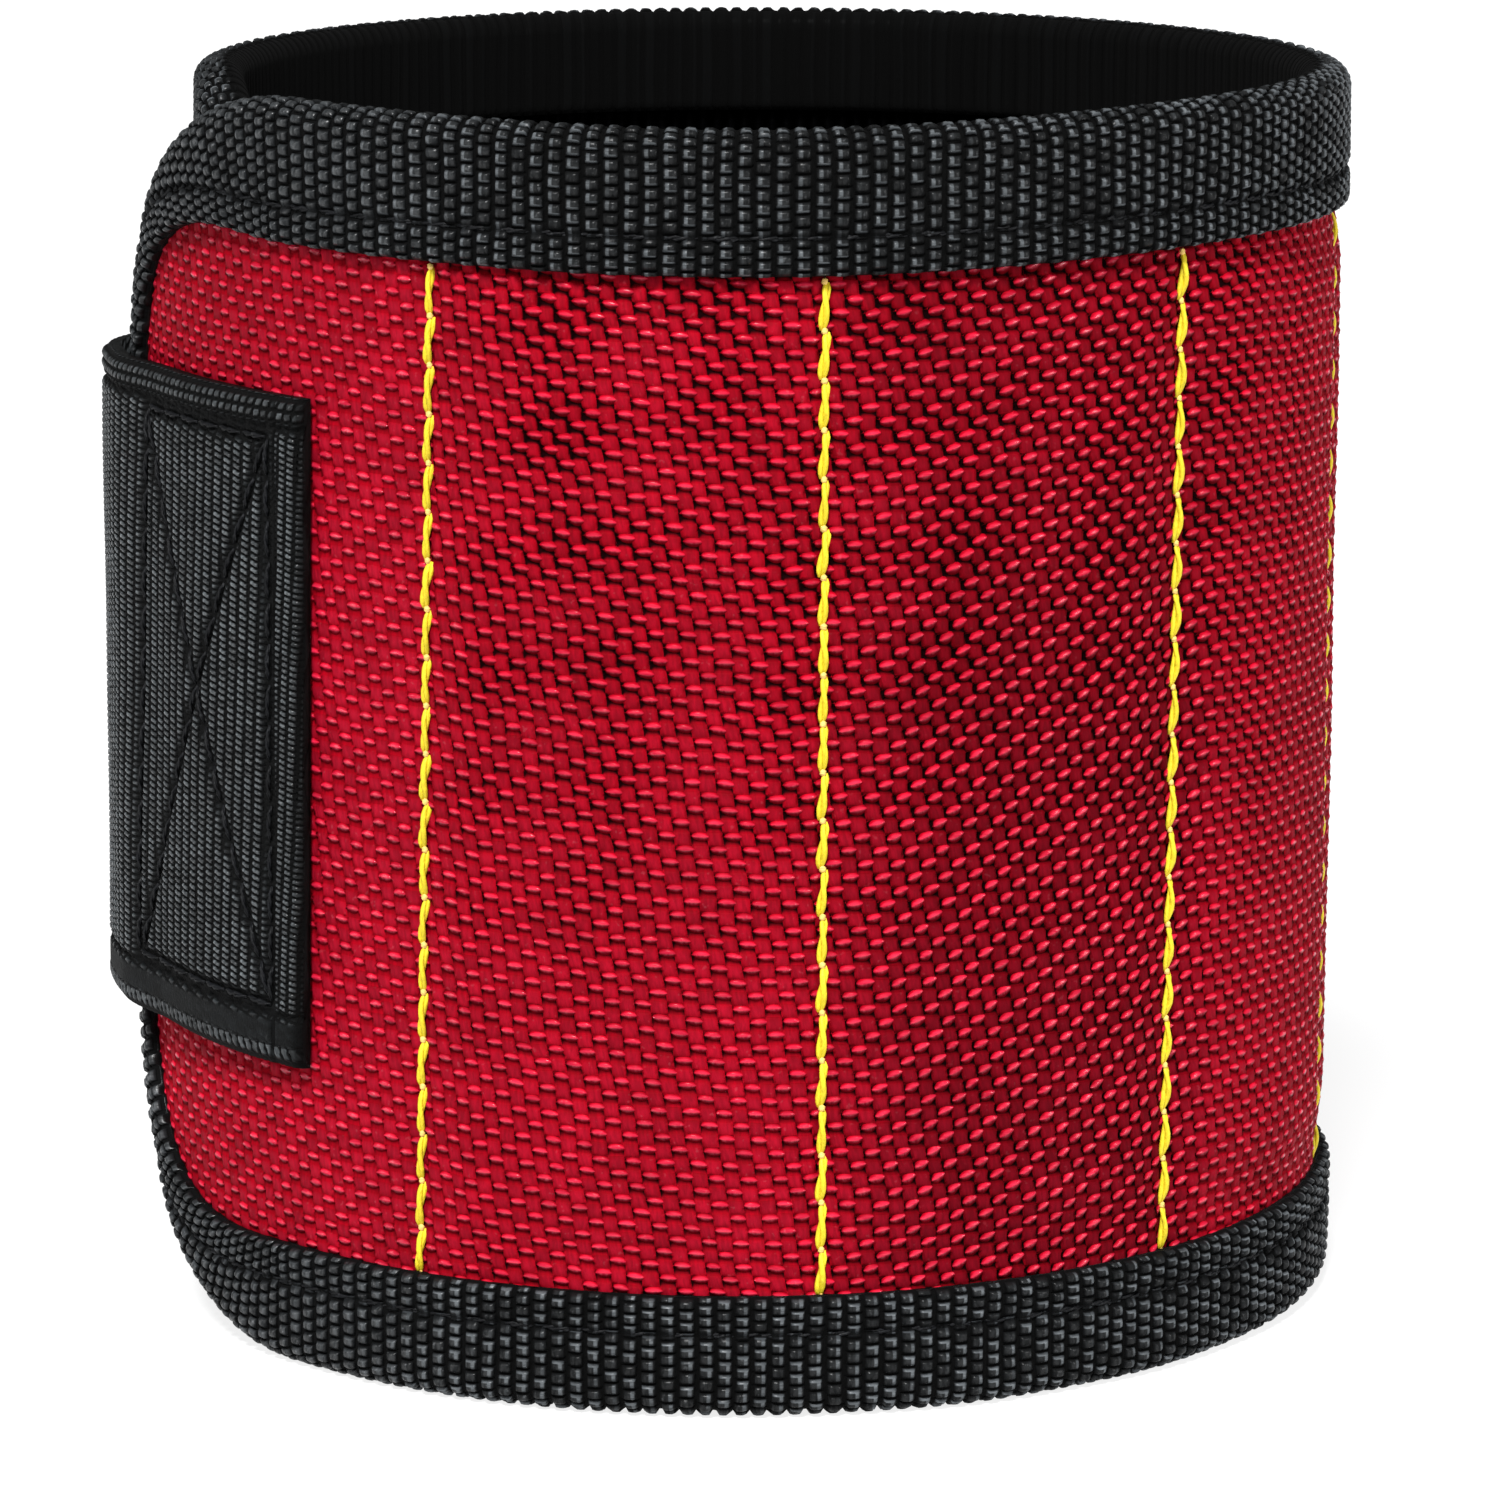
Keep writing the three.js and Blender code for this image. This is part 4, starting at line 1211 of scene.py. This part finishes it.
# One two-ply stitch, lying along Z.
def stitchModel(look):
    ply = look["width"] * 0.27
    bpy.ops.object.select_all(action="DESELECT")
    bpy.ops.mesh.primitive_circle_add(vertices=look["sides"], radius=ply, location=(0, 0, 0))
    piece = bpy.context.object
    bpy.ops.object.mode_set(mode="EDIT")
    bpy.ops.transform.translate(value=(ply * 0.85, 0, 0))
    bpy.ops.mesh.primitive_circle_add(vertices=look["sides"], radius=ply, location=(-ply * 0.85, 0, 0))
    bpy.ops.object.mode_set(mode="OBJECT")
    twist = piece.modifiers.new("twist", "SCREW")
    twist.angle = 2 * math.pi * look["turns"]
    twist.screw_offset = look["length"]
    twist.steps = twist.render_steps = look["steps"]
    bpy.ops.object.modifier_apply(modifier="twist")
    bpy.ops.object.mode_set(mode="EDIT")
    bpy.ops.mesh.select_all(action="SELECT")
    bpy.ops.mesh.fill_holes(sides=0)
    bpy.ops.mesh.quads_convert_to_tris()
    bpy.ops.mesh.normals_make_consistent(inside=False)
    bpy.ops.object.mode_set(mode="OBJECT")
    points, triangles = takeArrays(piece)
    points[:, 2] -= points[:, 2].mean()
    u = points[:, 2] / (look["length"] / 2)
    waist = 0.45 + 0.55 * np.sqrt(np.clip(1 - np.abs(u) ** 2.5, 0, 1))
    points[:, :2] *= waist[:, None]
    points[:, 1] = points[:, 1] * 0.85 + look["arch"] * (1 - u ** 2) - look["sink"]
    return points, triangles


def knotModel(look):
    bpy.ops.object.select_all(action="DESELECT")
    bpy.ops.mesh.primitive_ico_sphere_add(subdivisions=1, radius=look["knot"])
    points, triangles = takeArrays(bpy.context.object)
    points = points * (1.0, 0.7, 1.1)
    points[:, 1] += 0.02
    return points, triangles


# Copies of a stitch along a line of flat cloth places, laid on the cloth's own surface.
def sewLine(name, look, line, surface, material, seed):
    rng = np.random.default_rng(seed)
    line = np.array(line, float)
    reached = np.concatenate([[0], np.cumsum(np.hypot(*np.diff(line, axis=0).T))])
    count = max(1, int(round(reached[-1] / look["pitch"])))
    pitch = reached[-1] / count
    models = [(stitchModel(look), pitch / 2, 0)]
    if look["knot"]:
        models.append((knotModel(look), 0.0, 1))
    parts, kinds, tones, ways = [], [], [], []
    for (shape, faces), offset, kind in models:
        for k in range(count + kind):
            at = k * pitch + offset
            around = [np.interp([at - 0.5, at, at + 0.5], reached, line[:, axis]) for axis in (0, 1)]
            before, here, after = np.stack(around, -1)
            way = (after - before) / np.hypot(*(after - before))
            turn = look["slant"] * rng.uniform(0.6, 1.4) + rng.uniform(-0.03, 0.03)
            way = np.array([way[0] + way[1] * turn, way[1] - way[0] * turn])
            side = np.array([way[1], -way[0]])
            grown = rng.uniform(0.93, 1.07)
            s, z = (here[axis] + shape[:, 2] * way[axis] + shape[:, 0] * side[axis] * grown
                    for axis in (0, 1))
            parts.append((ringPoint(angleAt(s), surface(s, z) + shape[:, 1] * grown, z), faces))
            kinds.append(np.full(len(shape), kind))
            tones.append(np.full(len(shape), rng.uniform()))
            ways.append(np.stack([shape[:, 0], shape[:, 2] + k * 5], -1))
    kinds = np.concatenate(kinds)
    values = plainValues(kinds, 0.75, kinds, np.concatenate(tones))
    piece = shapesMesh(name, parts, np.concatenate(ways) * 0.1, values, material)
    return piece


def faceSurface(s, z):
    return bandRadius(angleAt(s)) - band["faceDepth"] - redFace["groove"] + 0.12


def tapeSurface(s, z):
    return bandRadius(angleAt(s)) - tape["relief"] - 0.1


def strapSurface(s, z):
    return strapRadius(s, z) - strap["relief"] - 0.05


# The groove's line in flat cloth places, between two distances along a tape.
def grooveLine(path, low, high):
    s, z, inS, inZ, pattern, leg = path(evenLines(low, high, 1.0))
    inset = leg - tape["grooveFromLip"]
    return np.stack([s + inS * inset, z + inZ * inset], -1)


def sewTape(name, path, low, high, seed):
    return sewLine(name, blackStitch, grooveLine(path, low, high), tapeSurface, blackThread, seed)


def stitchPieces():
    for k in range(5):
        line = [(arcTo(seamLine(k, z)), z) for z in sewn["seamRows"]]
        piece = sewLine(f"seamStitches{k + 1}", yellowStitch, line, faceSurface, yellowThread, 60 + k)
        bendAt(piece, k)
        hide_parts(f"seam_thread_{k + 1}")
    for rim, path in rims:
        for k in range(6):
            piece = sewTape(f"{rim}TapeStitches{k + 1}", path, arcTo(cuts[k]), arcTo(cuts[k + 1]), 70 + k)
            bendAt(piece, k)
    piece = sewTape("endTapeStitches", endTape, 0, endLength, 81)
    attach(piece, "outer_end")
    piece = sewTape("tailTapeStitches", tailTape, 0, tailLength, 82)
    bendAt(piece, 6)
    for k, (a, b, c, d) in enumerate(strap["box"]):
        line = [(arcTo(a), b), (arcTo(c), d)]
        piece = sewLine(f"strapStitches{k + 1}", blackStitch, line, strapSurface, blackThread, 90 + k)
        bendStrap(piece, 0)
    for k, angle in enumerate(sewn["joinAngles"]):
        line = [(arcTo(angle), z) for z in sewn["joinRows"]]
        piece = sewLine(f"tailJoinStitches{k + 1}", blackStitch, line, faceSurface, blackThread, 100 + k)
        bendAt(piece, 5)


stitchPieces()
print("stitches ready")


# Hook patch under the strap
hookPatch = {"margin": 3, "thickness": 0.35, "hookHeight": 0.6, "pitch": 1.5, "span": (-160.0, -128.04),
             "clear": 0.3, "rib": 0.04}


def hookModel():
    path = [(0, 0), (0.02, 0.25), (0.1, 0.42), (0.26, 0.46), (0.34, 0.34)]
    widths = [0.14, 0.1, 0.09, 0.08, 0.05]
    points, triangles = [], []
    for (x, y), width in zip(path, widths):
        for across, up in ((-1, -1), (1, -1), (1, 1), (-1, 1)):
            points.append((x + across * width, y, up * width))
    for ring in range(len(path) - 1):
        for side in range(4):
            a, b = ring * 4 + side, ring * 4 + (side + 1) % 4
            triangles += [(a, b, b + 4), (a, b + 4, a + 4)]
    last = len(points) - 4
    triangles += [(0, 2, 1), (0, 3, 2), (last, last + 1, last + 2), (last, last + 2, last + 3)]
    return np.array(points, float), np.array(triangles)


def hookSeat(s, z, depth):
    angle = angleAt(s)
    return ringPoint(angle, strapSeat(angle) - hookPatch["clear"] - depth, z)


def hookBase(s, z):
    ribs = 0.5 + 0.5 * np.cos(2 * math.pi * z / hookPatch["pitch"])
    points = hookSeat(s, z, hookPatch["thickness"] + hookPatch["rib"] * ribs)
    return points, np.stack([s, z], -1), plainValues(s, 0.4 + 0.4 * ribs, 0.5, 0.5)


def hookPieces():
    low, high = hookPatch["span"]
    cut = strap["cuts"][1]
    bottom, top = strap["bottom"] + hookPatch["margin"], strap["top"] - hookPatch["margin"]
    shape, faces = hookModel()
    reach = hookPatch["thickness"] + shape[:, 1] / 0.5 * hookPatch["hookHeight"]
    for k, (a, b) in enumerate(((cut, high), (low, cut))):
        s, z = grid(evenLines(arcTo(a), arcTo(b), 0.6), evenLines(bottom, top, 0.5))
        piece = clothSheet(
            f"hookTape{k + 1}", s, z, hookBase, lambda p, q: hookSeat(p, q, 0), (10, 6), hookPlastic)
        parts = []
        for sAt in np.arange(arcTo(a) + 0.9, arcTo(b) - 0.6, hookPatch["pitch"]):
            for row, zAt in enumerate(np.arange(bottom + 0.8, top - 0.6, hookPatch["pitch"])):
                way = 1 if row % 2 else -1
                parts.append((hookSeat(sAt + way * shape[:, 0], zAt + way * shape[:, 2], reach), faces))
        flat = np.zeros(len(parts) * len(shape))
        hooks = shapesMesh(f"hooks{k + 1}", parts, np.stack([flat, flat], -1),
                           plainValues(flat, 0.7, 0, 0.5), hookPlastic)
        for part in (piece, hooks):
            bendStrap(part, 1 + k)
            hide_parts("hook_patch")


hookPieces()
print("hook patch ready")


# Inside the pockets
inside = {"padBevel": 0.35, "weld": 0.01, "magnetDiameter": 12, "magnetThickness": 1.6,
          "magnetBevel": 0.18}


def softenEdges(piece, width, segments, sharperThan, smoothUpTo):
    bevel = piece.modifiers.new("softEdge", "BEVEL")
    bevel.width = width * mm
    bevel.segments = segments
    bevel.limit_method = "ANGLE"
    bevel.angle_limit = math.radians(sharperThan)
    bpy.ops.object.modifier_apply(modifier="softEdge")
    bpy.ops.object.shade_smooth_by_angle(angle=math.radians(smoothUpTo))


def padPiece(number):
    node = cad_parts[f"pocket_{number}_padding"]
    piece = addObject(f"padding{number}", node.data.copy())
    bpy.ops.object.select_all(action="DESELECT")
    piece.select_set(True)
    bpy.context.view_layer.objects.active = piece
    bpy.ops.object.mode_set(mode="EDIT")
    bpy.ops.mesh.select_all(action="SELECT")
    bpy.ops.mesh.remove_doubles(threshold=inside["weld"] * mm)
    bpy.ops.object.mode_set(mode="OBJECT")
    softenEdges(piece, inside["padBevel"], 2, 50, 40)
    piece.data.materials.clear()
    piece.data.materials.append(foamPad)
    setFields(piece.data, plainValues(np.zeros(len(piece.data.vertices)), 0.5, 0.5, 0.5))
    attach(piece, f"pocket_{number}")
    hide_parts(f"pocket_{number}_padding")


def magnetPiece(number, row):
    name = f"pocket_{number}_magnet_{row + 1}"
    low, high = (Vector(corner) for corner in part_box(name))
    middle = (low + high) / 2
    outwards = Vector((middle.x, middle.y, 0)).normalized()
    bpy.ops.object.select_all(action="DESELECT")
    bpy.ops.mesh.primitive_cylinder_add(
        vertices=48, radius=inside["magnetDiameter"] / 2 * mm, depth=inside["magnetThickness"] * mm,
        location=middle, rotation=outwards.to_track_quat("Z", "Y").to_euler())
    piece = bpy.context.object
    piece.name = f"magnet{number}{'abc'[row]}"
    bpy.ops.object.transform_apply(location=True, rotation=True, scale=True)
    softenEdges(piece, inside["magnetBevel"], 3, 30, 35)
    piece.data.materials.append(nickel)
    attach(piece, f"pocket_{number}")
    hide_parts(name)


for number in range(1, 6):
    padPiece(number)
    for row in range(3):
        magnetPiece(number, row)
print("padding and magnets ready")
